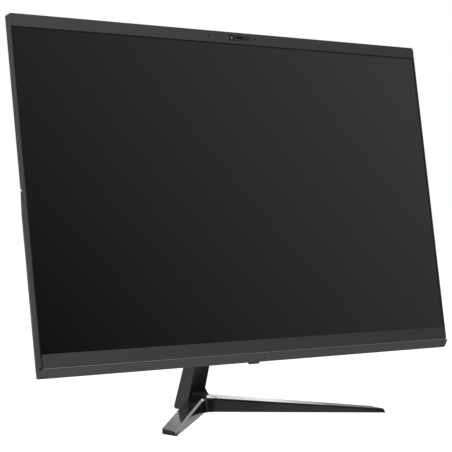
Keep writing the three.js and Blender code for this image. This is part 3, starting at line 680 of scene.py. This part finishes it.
def without(bm: bmesh.types.BMesh, rooms: Sequence[bmesh.types.BMesh]) -> bmesh.types.BMesh:
    """Cuts solids out of a mesh.

    Args:
        bm: The mesh. It is freed here.
        rooms: What is cut out of it. They are freed here.

    Returns:
        A new mesh that the caller frees.
    """
    scraps = []
    for i, part in enumerate([bm, *rooms]):
        mesh = bpy.data.meshes.new(f"cut_{i}")
        part.to_mesh(mesh)
        part.free()
        scraps.append(bpy.data.objects.new(f"cut_{i}", mesh))
        bpy.context.scene.collection.objects.link(scraps[-1])
    for room in scraps[1:]:
        cut = scraps[0].modifiers.new(room.name, "BOOLEAN")
        cut.operation = "DIFFERENCE"
        cut.solver = "EXACT"
        cut.object = room
    graph = bpy.context.evaluated_depsgraph_get()
    left = bmesh.new()
    left.from_mesh(scraps[0].evaluated_get(graph).data)
    for scrap in scraps:
        bpy.data.meshes.remove(scrap.data)
    return left


@dataclass(frozen=True)
class HeadFrame:
    """The display's leaning frame: x across, w back from its front, v up from the chin's foot."""

    to_row: Matrix

    @classmethod
    def from_frame(cls) -> HeadFrame:
        """Takes the lean from the button's travel, and the origin from the front frame and chin.

        Returns:
            The leaning frame.
        """
        press = next(j for j in frame["joints"] if j["name"] == "power_button_press")
        up = Vector(press["axis"]).normalized()
        across = Vector((1.0, 0.0, 0.0))
        turn = Matrix((across, up.cross(across), up)).transposed()
        local = turn.inverted()
        front = min((local @ v.co).y for v in frame["nodes"]["front_frame"].data.vertices)
        low = min((local @ v.co).z for v in frame["nodes"]["chin_bezel"].data.vertices)
        return cls(turn.to_4x4() @ Matrix.Translation((0.0, front, low)))

    def point(self, x: float, w: float, v: float) -> Vector:
        """Returns a point of the display in the row frame."""
        return self.to_row @ Vector((x, w, v))

    def box(self, node: str) -> tuple[Vector, Vector]:
        """Measures a frame node in the display's own frame.

        Args:
            node: The frame node's name.

        Returns:
            Its lowest and highest corner.
        """
        back = self.to_row.inverted()
        points = [back @ v.co for v in frame["nodes"][node].data.vertices]
        low = Vector(min(p[i] for p in points) for i in range(3))
        high = Vector(max(p[i] for p in points) for i in range(3))
        return low, high


HEAD = HeadFrame.from_frame()


def band_in_head(
    outer: Sequence[tuple[float, float]],
    inner: Sequence[tuple[float, float]],
    depth: tuple[float, float],
) -> bmesh.types.BMesh:
    """Makes the flat band between two closed outlines of equally many points.

    Args:
        outer: The outer outline, as (x, v).
        inner: The inner outline.
        depth: The band's front and back.

    Returns:
        A new mesh that the caller frees.
    """
    bm = bmesh.new()
    loops = [(outer, depth[0]), (inner, depth[0]), (inner, depth[1]), (outer, depth[1])]
    rows = [[bm.verts.new(HEAD.point(x, w, v)) for x, v in line] for line, w in loops]
    for near, far in zip(rows, rows[1:] + rows[:1]):
        for i in range(len(near)):
            j = (i + 1) % len(near)
            bm.faces.new((near[i], near[j], far[j], far[i]))
    bmesh.ops.recalc_face_normals(bm, faces=bm.faces)
    return bm


def stadium(
    x: tuple[float, float], v: float, radius: float, steps: int = 12
) -> list[tuple[float, float]]:
    """Returns the outline of a slot with round ends.

    Args:
        x: Its two ends.
        v: Its middle height.
        radius: The radius of its ends.
        steps: How many steps each end takes.

    Returns:
        The outline as (x, v); a slot as long as it is high is a circle.
    """
    ends = ((x[1] - radius, -QUARTER), (x[0] + radius, QUARTER))
    turns = [math.pi * i / steps for i in range(steps + 1)]
    return [
        (middle + radius * math.cos(start + turn), v + radius * math.sin(start + turn))
        for middle, start in ends
        for turn in turns
    ]


def quarter_turns(steps: int) -> list[float]:
    """Returns the angles of a quarter circle taken in steps."""
    return [QUARTER * i / steps for i in range(steps + 1)]


def add_block(bm: bmesh.types.BMesh, low: Vector, high: Vector) -> None:
    """Adds a block to a mesh.

    Args:
        bm: The mesh.
        low: The block's lowest corner in the display's own frame.
        high: Its highest corner.
    """
    made = bmesh.ops.create_cube(bm, size=1.0)["verts"]
    stretch = Matrix.Diagonal((*(high - low), 1.0))
    place = HEAD.to_row @ Matrix.Translation((low + high) / 2) @ stretch
    bmesh.ops.transform(bm, matrix=place, verts=made)


# ---------------------------------------------------------------- studio


@dataclass(frozen=True)
class Lamp:
    """A square soft light that faces the middle of the object."""

    name: str
    place: Colour
    size: float
    power: float
    mirrored: bool = True

    def hang(self) -> None:
        """Adds the light to the scene."""
        data = bpy.data.lights.new(self.name, "AREA")
        data.shape = "SQUARE"
        data.size = self.size
        data.energy = self.power
        light = bpy.data.objects.new(self.name, data)
        low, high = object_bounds()
        aim = (low + high) / 2 - Vector(self.place)
        light.location = self.place
        light.visible_glossy = self.mirrored
        light.rotation_euler = aim.to_track_quat("-Z", "Y").to_euler()
        bpy.context.scene.collection.objects.link(light)


@dataclass(frozen=True)
class Studio:
    """The pale floor, the soft surroundings, the lights and the camera."""

    eye: Vector = field(default_factory=lambda: Vector((-1.2621, -1.47898, 0.2449)))
    pitch: float = 89.31
    heading: float = -40.26
    lens: float = 133.04
    lamps: tuple[Lamp, ...] = (
        Lamp("key", (-1.2, -0.9, 0.9), 1.0, 46.0, mirrored=False),
        Lamp("rear", (0.6, 2.2, 1.6), 1.6, 26.0),
    )
    floor_radius: float = 9.0
    floor_corners: int = 64
    floor_glow: Colour = (0.42, 0.42, 0.42)
    floor_colour: Colour = (0.15, 0.15, 0.15)
    floor_rough: float = 0.9
    white: Colour = (1.0, 1.0, 1.0)
    ambient: float = 0.22
    wall_slope: Colour = (2.51, 0.0, 1.65)
    wall_start: float = -1.596
    wall_span: tuple[float, float] = (0.05, 1.0)
    turn_steepness: float = 5.0
    side_slope: float = -0.5
    canopy_stops: tuple[tuple[float, float], ...] = (
        (0.265, 0.0),
        (0.285, 0.28),
        (0.33, 0.36),
        (0.39, 1.0),
        (0.56, 1.0),
        (0.75, 0.05),
    )
    canopy_light: float = 2.5
    overhead_stops: tuple[tuple[float, float], ...] = ((0.42, 1.0), (0.62, 0.25), (1.0, 0.12))

    def build(self) -> None:
        """Makes the whole studio."""
        self._floor()
        self._surroundings()
        for lamp in self.lamps:
            lamp.hang()
        self._camera()
        bpy.context.scene.view_settings.view_transform = "Standard"
        LOG.info("studio: floor, surroundings, %d soft lights and the camera", len(self.lamps))

    def _floor(self) -> None:
        """Lays the round floor."""
        bm = bmesh.new()
        corners, radius = self.floor_corners, self.floor_radius
        bmesh.ops.create_circle(bm, cap_ends=True, segments=corners, radius=radius)
        mesh = bpy.data.meshes.new("floor")
        bm.to_mesh(mesh)
        bm.free()
        paint = bpy.data.materials.new("floor_paint")
        paint.use_nodes = True
        graph = Graph(paint.node_tree)
        seen = graph.add("ShaderNodeLightPath", output="Is Camera Ray")
        inputs = {
            "Base Color": self.floor_colour,
            "Roughness": self.floor_rough,
            "Emission Color": graph.blend(seen, self.floor_glow, self.white),
            "Emission Strength": 1.0,
        }
        shader = graph.add("ShaderNodeBsdfPrincipled", {}, inputs)
        graph.add("ShaderNodeOutputMaterial", {}, {"Surface": shader})
        mesh.materials.append(paint)
        floor = bpy.data.objects.new("floor", mesh)
        bpy.context.scene.collection.objects.link(floor)
        floor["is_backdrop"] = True

    def _surroundings(self) -> None:
        """Makes the world: white to the eye, even as light, graded where things mirror it."""
        world = bpy.data.worlds.new("studio_surroundings")
        bpy.context.scene.world = world
        world.use_nodes = True
        graph = Graph(world.node_tree)
        way = graph.add("ShaderNodeTexCoord", output="Generated")
        across = graph.add("ShaderNodeSeparateXYZ", {}, {0: way}, "X")
        depth = graph.add("ShaderNodeSeparateXYZ", {}, {0: way}, "Y")
        height = graph.add("ShaderNodeSeparateXYZ", {}, {0: way}, "Z")
        along = {"operation": "DOT_PRODUCT"}
        lift = graph.add("ShaderNodeVectorMath", along, {0: way, 1: self.wall_slope}, "Value")
        slope = (lift + self.wall_start).at_least(across * self.side_slope)
        wall = slope.at_least(self.wall_span[0]).at_most(self.wall_span[1])
        overhead = graph.ramp(height, *self.overhead_stops)
        canopy = graph.ramp(height, *self.canopy_stops)
        behind = (depth * self.turn_steepness).at_least(0.0).at_most(1.0)
        mirrored = wall * overhead + canopy * behind * self.canopy_light
        seen = graph.add("ShaderNodeLightPath", output="Is Camera Ray")
        mirror = graph.add("ShaderNodeLightPath", output="Is Glossy Ray")
        unseen = mirror * mirrored + (1.0 - mirror) * self.ambient
        strength = seen + (1.0 - seen) * unseen
        inputs = {"Color": self.white, "Strength": strength}
        light = graph.add("ShaderNodeBackground", {}, inputs)
        graph.add("ShaderNodeOutputWorld", {}, {"Surface": light})

    def _camera(self) -> None:
        """Sets up the camera."""
        data = bpy.data.cameras.new("camera")
        data.lens = self.lens
        camera = bpy.data.objects.new("camera", data)
        camera.location = self.eye
        camera.rotation_euler = (math.radians(self.pitch), 0.0, math.radians(self.heading))
        bpy.context.scene.collection.objects.link(camera)
        bpy.context.scene.camera = camera


# ---------------------------------------------------------------- display


@dataclass(frozen=True)
class ScreenPanel:
    """The glass, a black strip of painted shade round its edge and the layers behind it."""

    layers: tuple[tuple[str, Finish, Rounding], ...] = (
        ("lcd_glass", SCREEN, GLASS_EDGE),
        ("lcd_light_guide", DIFFUSER, THIN),
        ("lcd_rear_tray", STEEL, HAIR),
        ("lcd_driver_board", BOARD, CRISP),
        ("panel_cable", MOULDING, Rounding(0.08 * MM)),
    )
    # The black strip of painted shade on the glass's rim: its width, and how far it stands proud
    # and sunk.
    shade_rim_width: float = 1.0 * MM
    shade_rim_proud: float = 0.25 * MM
    shade_rim_sunk: float = 0.02 * MM

    def build(self) -> None:
        """Makes the panel's pieces."""
        for node, finish, rounding in self.layers:
            eased_copy(node, Body.DISPLAY, finish, rounding)
        self._lay_shade_rim()

    def _lay_shade_rim(self) -> None:
        """Lays a thin black strip on the rim of the glass: painted shade for the shadow line under
        the bezel and beside the lips.
        """
        low, high = HEAD.box("lcd_glass")
        front = low.y - self.shade_rim_proud
        back = low.y - self.shade_rim_sunk
        width = self.shade_rim_width
        chin_top = HEAD.box("chin_bezel")[1].z
        bars = (
            (low.x, high.x, high.z - width, high.z),
            (low.x, low.x + width, chin_top, high.z - width),
            (high.x - width, high.x, chin_top, high.z - width),
        )
        bm = bmesh.new()
        for left, right, bottom, top in bars:
            add_block(bm, Vector((left, front, bottom)), Vector((right, back, top)))
        finish_piece("black_rim_and_painted_shade", bm, Body.DISPLAY, [BLACK_RIM_AND_SHADE])


@dataclass(frozen=True)
class FrontFrame:
    """The thin side lips, the taller top bezel and the bevelled lower corners."""

    easing: Rounding = Rounding(0.35 * MM, 3)

    def build(self) -> None:
        """Makes the frame."""
        eased_copy("front_frame", Body.DISPLAY, BEZEL, self.easing)


@dataclass(frozen=True)
class Chin:
    """The brushed bar under the screen, with a bright cut edge that is partly a painted highlight,
    painted shade on its ends, and the bevelled band below.
    """

    corner: float = 0.6 * MM
    draw_back: float = 0.6
    cut: float = 0.55 * MM
    top_ease: float = 0.5 * MM
    lip: float = 2.1 * MM
    seam: float = 0.35 * MM
    steps: int = 4

    def build(self) -> None:
        """Makes the bar and the band."""
        self._bar()
        self._band()

    def _band(self) -> None:
        """Makes the band, drawn in at its ends to leave a seam."""
        name = "chin_lower_strip"
        bm = solid_of(name)
        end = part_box(name)[1].x
        for vertex in bm.verts:
            if abs(vertex.co.x) > end - self.seam:
                vertex.co.x -= math.copysign(self.seam, vertex.co.x)
        ease_edges(bm, SOFT)
        finish_piece(f"{name}_eased", bm, Body.DISPLAY, [BAND], [name])

    def _bar(self) -> None:
        """Lofts the bar along x, with its section drawn in at the ends, painted shade on its end
        faces and a painted highlight on its cut edge.
        """
        low, high = HEAD.box("chin_bezel")
        half = high.x - self.lip
        ease = self.corner
        turns = quarter_turns(self.steps)
        ends = [(ease * (1 - math.cos(t)), ease * (1 - math.sin(t))) for t in turns]
        places = [(-half + s, i) for s, i in ends] + [(half - s, i) for s, i in reversed(ends)]
        bm = loft([self._section(x, inset, low, high) for x, inset in places])
        # The cut edge gets bright metal, partly a painted highlight; the end faces get near-black
        # painted shade for the seam beside the lips.
        for face in bm.faces:
            middle = HEAD.to_row.inverted() @ face.calc_center_median()
            at_cut = middle.z < low.z + self.cut and middle.y < low.y + self.cut
            painted_shade_end = abs(middle.x) > half - self.corner / 2
            face.material_index = 2 if painted_shade_end else int(at_cut)
        finishes = [BEZEL, CUT_EDGE_WITH_HIGHLIGHT, BLACK_RIM_AND_SHADE]
        finish_piece("chin_bezel_bar", bm, Body.DISPLAY, finishes, ["chin_bezel"])

    def _section(self, x: float, inset: float, low: Vector, high: Vector) -> list[Vector]:
        """Returns the bar's cross-section at a place along it.

        Args:
            x: Where along the bar.
            inset: How far the front is drawn back there.
            low: The bar's lowest corner.
            high: The bar's highest corner.

        Returns:
            The section's points, in the row frame.
        """
        front = low.y + inset * self.draw_back
        ease = self.top_ease
        bottom = [(high.y, low.z), (front + self.cut, low.z), (front, low.z + self.cut)]
        top = [
            (front + ease * (1 - math.cos(t)), high.z - ease * (1 - math.sin(t)))
            for t in quarter_turns(self.steps)
        ]
        return [HEAD.point(x, w, v) for w, v in (*bottom, *top, (high.y, high.z))]


@dataclass(frozen=True)
class CameraBar:
    """What shows in the middle of the top bezel: lens, shutter, light and microphones."""

    lens_gap: float = 0.3 * MM
    ring_width: float = 0.9 * MM
    ring_proud: float = 0.15 * MM
    ring_sunk: float = 0.3 * MM
    iris: tuple[float, float] = (1.35 * MM, 0.6 * MM)
    iris_half: float = 0.05 * MM
    # The shutter slot's outline, the sound holes' rings and the light's rim are painted shade.
    slot_shade_end: float = -0.5 * MM
    slot_shade_width: float = 0.45 * MM
    slot_shade_depth: tuple[float, float] = (-0.06 * MM, 0.2 * MM)
    hole_ring: tuple[float, float] = (1.25 * MM, 0.6 * MM)
    hole_shade_depth: tuple[float, float] = (-0.05 * MM, 0.3 * MM)
    light_slot: tuple[float, float] = (0.95 * MM, 1.3 * MM)
    light_shade_width: float = 0.3 * MM
    liner_gap: float = 0.3 * MM
    liner_depth: float = 0.7 * MM
    rib_count: int = 5
    rib: Vector = field(default_factory=lambda: Vector((0.35, 0.22, 2.0)) * MM)
    rib_reach: float = 0.1 * MM

    def build(self) -> None:
        """Makes the camera's pieces."""
        eased_copy("camera_window", Body.DISPLAY, TINTED, Rounding(0.2 * MM, 3))
        self._rings()
        self._ribs()
        eased_copy("camera_lens", Body.DISPLAY, LENS, Rounding(0.3 * MM, 3))
        eased_copy("camera_board", Body.DISPLAY, BOARD, HAIR)
        eased_copy("camera_light", Body.DISPLAY, CLEAR, HAIR)
        eased_copy("camera_shutter", Body.SHUTTER, MOULDING, CRISP)
        for side in ("left", "right"):
            eased_copy(f"microphone_{side}", Body.DISPLAY, SHELL, CRISP)

    def _round_ring(
        self,
        name: str,
        middle: tuple[float, float],
        radii: Sequence[float],
        depth: tuple[float, float],
        finish: Finish,
    ) -> None:
        """Makes a flat round ring.

        Args:
            name: The ring's name.
            middle: Its middle, as (x, v).
            radii: Its outer and inner radius.
            depth: Its front and back.
            finish: Its finish.
        """
        x, v = middle
        bm = band_in_head(*(stadium((x - r, x + r), v, r) for r in radii), depth)
        bmesh.ops.remove_doubles(bm, verts=bm.verts, dist=SAME_POINT)
        finish_piece(name, bm, Body.DISPLAY, [finish])

    def _rings(self) -> None:
        """Rings the lens, outlines the slot and the holes with painted shade, and puts the iris
        ring on the window.
        """
        low, high = HEAD.box("camera_window")
        v = (low.z + high.z) / 2
        lens = high.x + self.lens_gap
        radii = (lens + self.ring_width, lens)
        depth = (-self.ring_proud, self.ring_sunk)
        self._round_ring("lens_ring", (0.0, v), radii, depth, BLACK_RIM_AND_SHADE)
        depth = (low.y - self.iris_half, low.y + self.iris_half)
        self._round_ring("iris_ring", (0.0, v), self.iris, depth, STEEL)
        plate = HEAD.box("camera_shutter")
        start, end = plate[0].x, plate[1].x + self.slot_shade_end
        radius, width = (high.z - low.z) / 2, self.slot_shade_width
        # A near-black outline round the shutter's slot: painted shade on the slot's walls.
        outer = stadium((start, end), v, radius)
        inner = stadium((start + width, end - width), v, radius - width)
        rim = band_in_head(outer, inner, self.slot_shade_depth)
        finish_piece("shutter_slot_painted_shade", rim, Body.DISPLAY, [BLACK_RIM_AND_SHADE])
        self._liner(*plate)
        self._holes()

    def _liner(self, low: Vector, high: Vector) -> None:
        """Backs the slot with a dark liner behind the shutter's plate, to hide the board.

        Args:
            low: The plate's lowest corner in the display's own frame.
            high: Its highest corner.
        """
        front, back = high.y + self.liner_gap, high.y + self.liner_depth
        bm = bmesh.new()
        add_block(bm, Vector((low.x, front, low.z)), Vector((high.x, back, high.z)))
        finish_piece("shutter_liner", bm, Body.DISPLAY, [MOULDING])

    def _holes(self) -> None:
        """Rings both sound holes and the light's slot with painted shade: near-black rings for the
        shade inside them.
        """
        # Near-black rings of painted shade round the sound holes and the light's slot.
        for side in ("left", "right"):
            low, high = HEAD.box(f"microphone_{side}")
            middle = ((low.x + high.x) / 2, (low.z + high.z) / 2)
            name = f"sound_hole_painted_shade_{side}"
            self._round_ring(name, middle, self.hole_ring, self.hole_shade_depth, BLACK_RIM_AND_SHADE)
        low, high = HEAD.box("camera_light")
        middle = (low + high) / 2
        radius, rise = self.light_slot
        lines = []
        for r in (radius, radius - self.light_shade_width):
            upright = stadium((-r - rise, r + rise), 0.0, r)
            lines.append([(middle.x - v, middle.z + x) for x, v in upright])
        bm = band_in_head(*lines, self.hole_shade_depth)
        finish_piece("camera_light_painted_shade", bm, Body.DISPLAY, [BLACK_RIM_AND_SHADE])

    def _ribs(self) -> None:
        """Raises the finger ribs on the shutter's knob."""
        back = HEAD.to_row.inverted()
        points = [back @ v.co for v in frame["nodes"]["camera_shutter"].data.vertices]
        front = min(p.y for p in points)
        knob = [p for p in points if p.y < front + self.rib_reach]
        start, end = min(p.x for p in knob), max(p.x for p in knob)
        v = sum(p.z for p in knob) / len(knob)
        bm = bmesh.new()
        for i in range(self.rib_count):
            x = start + (end - start) * (i + 1.5) / (self.rib_count + 2)
            middle = Vector((x, front - self.rib.y / 2, v))
            add_block(bm, middle - self.rib / 2, middle + self.rib / 2)
        finish_piece("shutter_ribs", bm, Body.SHUTTER, [MOULDING])


@dataclass(frozen=True)
class RearShell:
    """The slim upper cover and the deep lower housing."""

    corner: float = 4.0 * MM
    corner_steps: int = 8
    bevel_lean: float = -0.4
    cover_easing: Rounding = Rounding(0.5 * MM, 3)
    shroud_easing: Rounding = Rounding(0.8 * MM, 3)
    easing: Rounding = Rounding(0.5 * MM, 2, 12.0)

    def build(self) -> None:
        """Makes the covers."""
        eased_copy("rear_cover", Body.DISPLAY, COVER, self.cover_easing)
        eased_copy("hinge_shroud", Body.DISPLAY, COVER, self.shroud_easing)
        self._housing()

    def _housing(self) -> None:
        """Makes the lower housing: round lower corners, and the band's finish on its bevel."""
        rooms = [self._corner_room(side) for side in (-1.0, 1.0)]
        bm = without(solid_of("rear_housing"), rooms)
        ease_edges(bm, self.easing)
        bm.normal_update()
        chin = HEAD.box("chin_bezel")[0]
        back = HEAD.to_row.inverted()
        for face in bm.faces:
            middle = back @ face.calc_center_median()
            in_front = middle.z < chin.z and middle.y < -chin.y
            face.material_index = int(in_front and face.normal.y < self.bevel_lean)
        name = "rear_housing"
        finish_piece(f"{name}_eased", bm, Body.DISPLAY, [COVER, BAND], [name])

    def _corner_room(self, side: float) -> bmesh.types.BMesh:
        """Makes the solid that rounds a lower corner off when it is cut away.

        Args:
            side: 1 for the right corner, -1 for the left.

        Returns:
            A new mesh that the caller frees.
        """
        low, high = HEAD.box("rear_housing")
        radius = self.corner
        turns = quarter_turns(self.corner_steps)
        arc = [(radius * (1 - math.sin(t)), radius * (1 - math.cos(t))) for t in turns]
        outline = [(-MM, radius), *reversed(arc), (radius, -MM), (-MM, -MM)]
        flat = [(side * (high.x - a), low.z + b) for a, b in outline]
        return loft([[HEAD.point(x, w, v) for x, v in flat] for w in (low.y - MM, high.y + MM)])


@dataclass(frozen=True)
class Sockets:
    """The recessed plate of sockets at the back."""

    shells: tuple[str, ...] = ("network_socket", "hdmi_socket")
    usb_count: int = 4

    def build(self) -> None:
        """Makes the plate and its sockets."""
        eased_copy("io_plate", Body.DISPLAY, MOULDING, GLASS_EDGE)
        for node in (*self.shells, *(f"usb_socket_{i + 1}" for i in range(self.usb_count))):
            eased_copy(node, Body.DISPLAY, SHELL, CRISP)
        for node in ("dc_inlet", "audio_socket"):
            eased_copy(node, Body.DISPLAY, MOULDING, THIN)


@dataclass(frozen=True)
class Internals:
    """What the housing holds, each with its finish and the width of its eased edges in mm."""

    plain: tuple[tuple[str, Finish, float], ...] = (
        ("hinge_bracket", STEEL, 0.4),
        ("chassis_plate", ALUMINIUM, 0.2),
        ("motherboard", BOARD, 0.2),
        ("processor", CHIP, 0.4),
        ("cold_plate", COPPER, 0.5),
        ("heat_pipe", COPPER, 1.2),
        ("radiator_fins", ALUMINIUM, 0.1),
        ("fan_housing", MOULDING, 0.4),
        ("memory_module_1", BOARD, 0.2),
        ("memory_module_2", BOARD, 0.2),
        ("ssd_module", CHIP, 0.2),
        ("wireless_card", BOARD, 0.2),
        ("hard_drive", ALUMINIUM, 0.8),
        ("hard_drive_bracket", STEEL, 0.2),
        ("speaker_left", MOULDING, 0.8),
        ("speaker_right", MOULDING, 0.8),
        ("power_switch", MOULDING, 0.3),
        ("power_light_pipe", CLEAR, 0.1),
    )

    def build(self) -> None:
        """Makes the inner pieces."""
        for node, finish, width in self.plain:
            eased_copy(node, Body.DISPLAY, finish, Rounding(width * MM))
        eased_copy("fan_rotor", Body.FAN, MOULDING, THIN)


@dataclass(frozen=True)
class PowerButton:
    """The shallow pill under the bottom edge, on the flange that holds it in."""

    flange: float = 1.0 * MM
    inset: float = 1.6 * MM
    dome: float = 1.6 * MM
    edge: float = 2.0 * MM
    steps: int = 8

    def build(self) -> None:
        """Makes the button."""
        low, high = HEAD.box("power_button")
        depth = (low.y + high.y) / 2
        half_width = high.x - self.inset
        half_depth = (high.y - low.y) / 2 - self.inset
        levels = [(high.z - self.flange / 2, 0.0)]
        levels += [
            (low.z + self.dome * (1 - math.sin(t)), self.edge * (1 - math.cos(t)))
            for t in quarter_turns(self.steps)
        ]
        rings = []
        for v, inset in levels:
            reach = half_width - inset
            outline = stadium((-reach, reach), depth, half_depth - inset)
            rings.append([HEAD.point(x, w, v) for x, w in outline])
        bm = loft(rings)
        add_block(bm, Vector((low.x, low.y, high.z - self.flange)), high)
        finish_piece("power_button_pill", bm, Body.BUTTON, [MOULDING], ["power_button"])


# ---------------------------------------------------------------- stand


@dataclass(frozen=True)
class Neck:
    """The slim leaning bar with a glossy front and satin sides, and the hinge hardware on it."""

    hardware: tuple[str, ...] = (
        "neck_core",
        "base_screw_left",
        "base_screw_right",
        "hinge_pin",
        "hinge_nut",
        "friction_washer_left",
        "friction_washer_right",
    )
    easing: Rounding = Rounding(0.8 * MM, 4)

    def build(self) -> None:
        """Makes the neck's pieces."""
        self._shell()
        eased_copy("neck_rear_cover", Body.STAND, NECK_SATIN, THIN)
        for node in self.hardware:
            eased_copy(node, Body.STAND, STEEL, SOFT)

    def _shell(self) -> None:
        """Makes the bar, glossy on its front."""
        bm = solid_of("neck_shell")
        ease_edges(bm, self.easing)
        bm.normal_update()
        for face in bm.faces:
            face.material_index = int(face.normal.y < FORWARD)
        finish_piece("neck_bar", bm, Body.STAND, [NECK_SATIN, NECK_GLOSS], ["neck_shell"])


@dataclass(frozen=True)
class ArmEdge:
    """One long edge of both arms: how far back and how high it is at a distance from the middle."""

    start: float
    slope: float
    height: float
    fall: float = 0.0
    fillet: float = 0.0

    def back(self, x: float) -> float:
        """Finds how far back the edge is, round the fillet where it passes between the arms.

        Args:
            x: The distance from the middle.

        Returns:
            The depth in the foot's own frame.
        """
        half_turn = math.atan2(1.0, self.slope)
        if x < self.fillet * math.cos(half_turn):
            centre = self.start - self.fillet / math.sin(half_turn)
            return centre + math.sqrt(self.fillet**2 - x**2)
        return self.start - self.slope * x

    def up(self, x: float) -> float:
        """Returns how high the edge is."""
        return self.height - self.fall * x


@dataclass(frozen=True)
class Foot:
    """The polished V-shaped foot, with a hollow collar that rises to the neck, and its pads."""

    inner_low: ArmEdge = ArmEdge(105.1 * MM, 0.905, 0.2 * MM, fillet=14 * MM)
    inner_mid: ArmEdge = ArmEdge(107.65 * MM, 0.9125, 14.9 * MM, 0.078, fillet=15.5 * MM)
    inner_top: ArmEdge = ArmEdge(111.2 * MM, 0.92, 16.9 * MM, 0.076, fillet=18 * MM)
    outer_top: ArmEdge = ArmEdge(128.5 * MM, 0.895, 20.8 * MM, 0.093)
    collar_reach: float = 5.5 * MM
    collar_height: float = 8.2 * MM
    collar_hollow: float = 2.4
    fillet_steps: int = 14
    collar_steps: int = 16
    arm_steps: int = 8
    least_step: float = 0.05 * MM
    toe_depth: float = 0.1 * MM
    gap: float = 0.3 * MM
    neck_gap: float = 0.12 * MM
    held: tuple[str, ...] = (
        "foot_pad_left",
        "foot_pad_right",
        "foot_pad_rear",
        "base_screw_left",
        "base_screw_right",
    )
    easing: Rounding = Rounding(0.35 * MM, 3, 24.0)

    def build(self) -> None:
        """Makes the foot's pieces."""
        self._casting()
        for side in ("left", "right", "rear"):
            eased_copy(f"foot_pad_{side}", Body.STAND, RUBBER, CRISP)

    def _stations(self, neck_half: float, reach: float) -> list[float]:
        """Returns the distances from the middle at which the arm's section is drawn.

        Args:
            neck_half: Half the neck's width.
            reach: The toes' distance from the middle.

        Returns:
            The distances, from the middle outwards.
        """
        widest = max(edge.fillet for edge in (self.inner_low, self.inner_mid, self.inner_top))
        turns, rises, rest = self.fillet_steps, self.collar_steps, self.arm_steps
        places = {widest * i / turns for i in range(turns + 1)}
        places.update(neck_half + self.collar_reach * i / rises for i in range(rises + 1))
        start = max(places)
        places.update(start + (reach - start) * (i + 1) / rest for i in range(rest))
        spread = sorted(places)
        nexts = [*spread[1:], math.inf]
        return [x for x, after in zip(spread, nexts) if after - x > self.least_step]

    def _collar(self, x: float, back: float, neck: Vector) -> float:
        """Returns how high the collar stands over the arm's flat top at a place.

        Args:
            x: The distance from the middle.
            back: The place's depth in the row frame.
            neck: The neck's front corner, as half its width and its depth.

        Returns:
            The height.
        """
        away = math.hypot(max(x - neck.x, 0.0), max(neck.y - back, 0.0))
        return self.collar_height * max(1.0 - away / self.collar_reach, 0.0) ** self.collar_hollow

    def _section(self, x: float, sign: float, shift: float, neck: Vector) -> list[Vector]:
        """Returns an arm's cross-section.

        Args:
            x: The distance from the middle.
            sign: The arm's side, 1 or -1.
            shift: From the foot's own depth to the row frame's.
            neck: The neck's front corner, as half its width and its depth.

        Returns:
            The section's points, from the underside's front edge to its back edge.
        """
        low, mid, top, outer = self.inner_low, self.inner_mid, self.inner_top, self.outer_top
        mid_up = max(mid.up(x), (low.height + top.up(x)) / 2)
        start = Vector((sign * x, top.back(x) + shift, top.up(x)))
        end = Vector((sign * x, outer.back(x) + shift, outer.up(x)))
        shares = [i / self.collar_steps for i in range(self.collar_steps + 1)]
        depths = [neck.y - self.collar_reach * (1 - share) for share in shares]
        backs = [start.y, *(min(max(depth, start.y), end.y) for depth in depths), end.y]
        crown = [start.lerp(end, (back - start.y) / (end.y - start.y)) for back in backs]
        for point in crown:
            point.z += self._collar(x, point.y, neck)
        below = [
            Vector((sign * x, low.back(x) + shift, low.height)),
            Vector((sign * x, mid.back(x) + shift, mid_up)),
            Vector((sign * x, outer.back(x) + shift, low.height)),
        ]
        return [*below[:2], *crown, below[2]]

    def _neck_corner(self) -> Vector:
        """Finds the neck's front corner at the collar's top.

        Returns:
            Half the neck's width and the depth of its front.
        """
        height = self.outer_top.height + self.collar_height
        mesh = frame["nodes"]["neck_shell"].data
        faces = (polygon for polygon in mesh.polygons if polygon.normal.y < FORWARD)
        front = max(faces, key=lambda polygon: polygon.area)
        depth = front.center.y - (height - front.center.z) * front.normal.z / front.normal.y
        return Vector((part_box("neck_shell")[1].x, depth))

    def _casting(self) -> None:
        """Lofts the casting through both arms, eases it and leaves room for what sits in it."""
        low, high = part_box("foot")
        reach = high.x
        neck = self._neck_corner()
        shift = low.y - self.inner_low.back(reach)
        stations = self._stations(neck.x, reach)
        ends = [(x, -1.0) for x in reversed(stations[1:])] + [(x, 1.0) for x in stations]
        bm = loft([self._section(x, sign, shift, neck) for x, sign in ends])
        bmesh.ops.remove_doubles(bm, verts=bm.verts, dist=10 * SAME_POINT)
        ease_edges(bm, self.easing)
        bm.normal_update()
        for face in bm.faces:
            at_toe = abs(face.calc_center_median().x) > reach - self.toe_depth
            face.material_index = int(at_toe and abs(face.normal.x) > -FORWARD)
        rooms = [room_for("neck_shell", self.neck_gap)]
        rooms += [room_for(name, self.gap) for name in self.held]
        screw_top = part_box("base_screw_left")[1].z
        rooms.append(room_for("neck_core", self.gap, below=screw_top + self.gap))
        bm = without(bm, rooms)
        finish_piece("foot_casting", bm, Body.STAND, [FOOT_COAT, TOE_FACE], ["foot"])


def main() -> None:
    """Builds the studio and every sub-assembly."""
    logging.basicConfig(level=logging.INFO, format="%(name)s: %(message)s")
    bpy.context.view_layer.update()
    Studio().build()
    display = (ScreenPanel(), FrontFrame(), Chin(), CameraBar(), RearShell(), Sockets())
    for part in (*display, Internals(), PowerButton(), Neck(), Foot()):
        part.build()
        LOG.info("%s is finished", type(part).__name__)


if __name__ == "__main__":
    main()
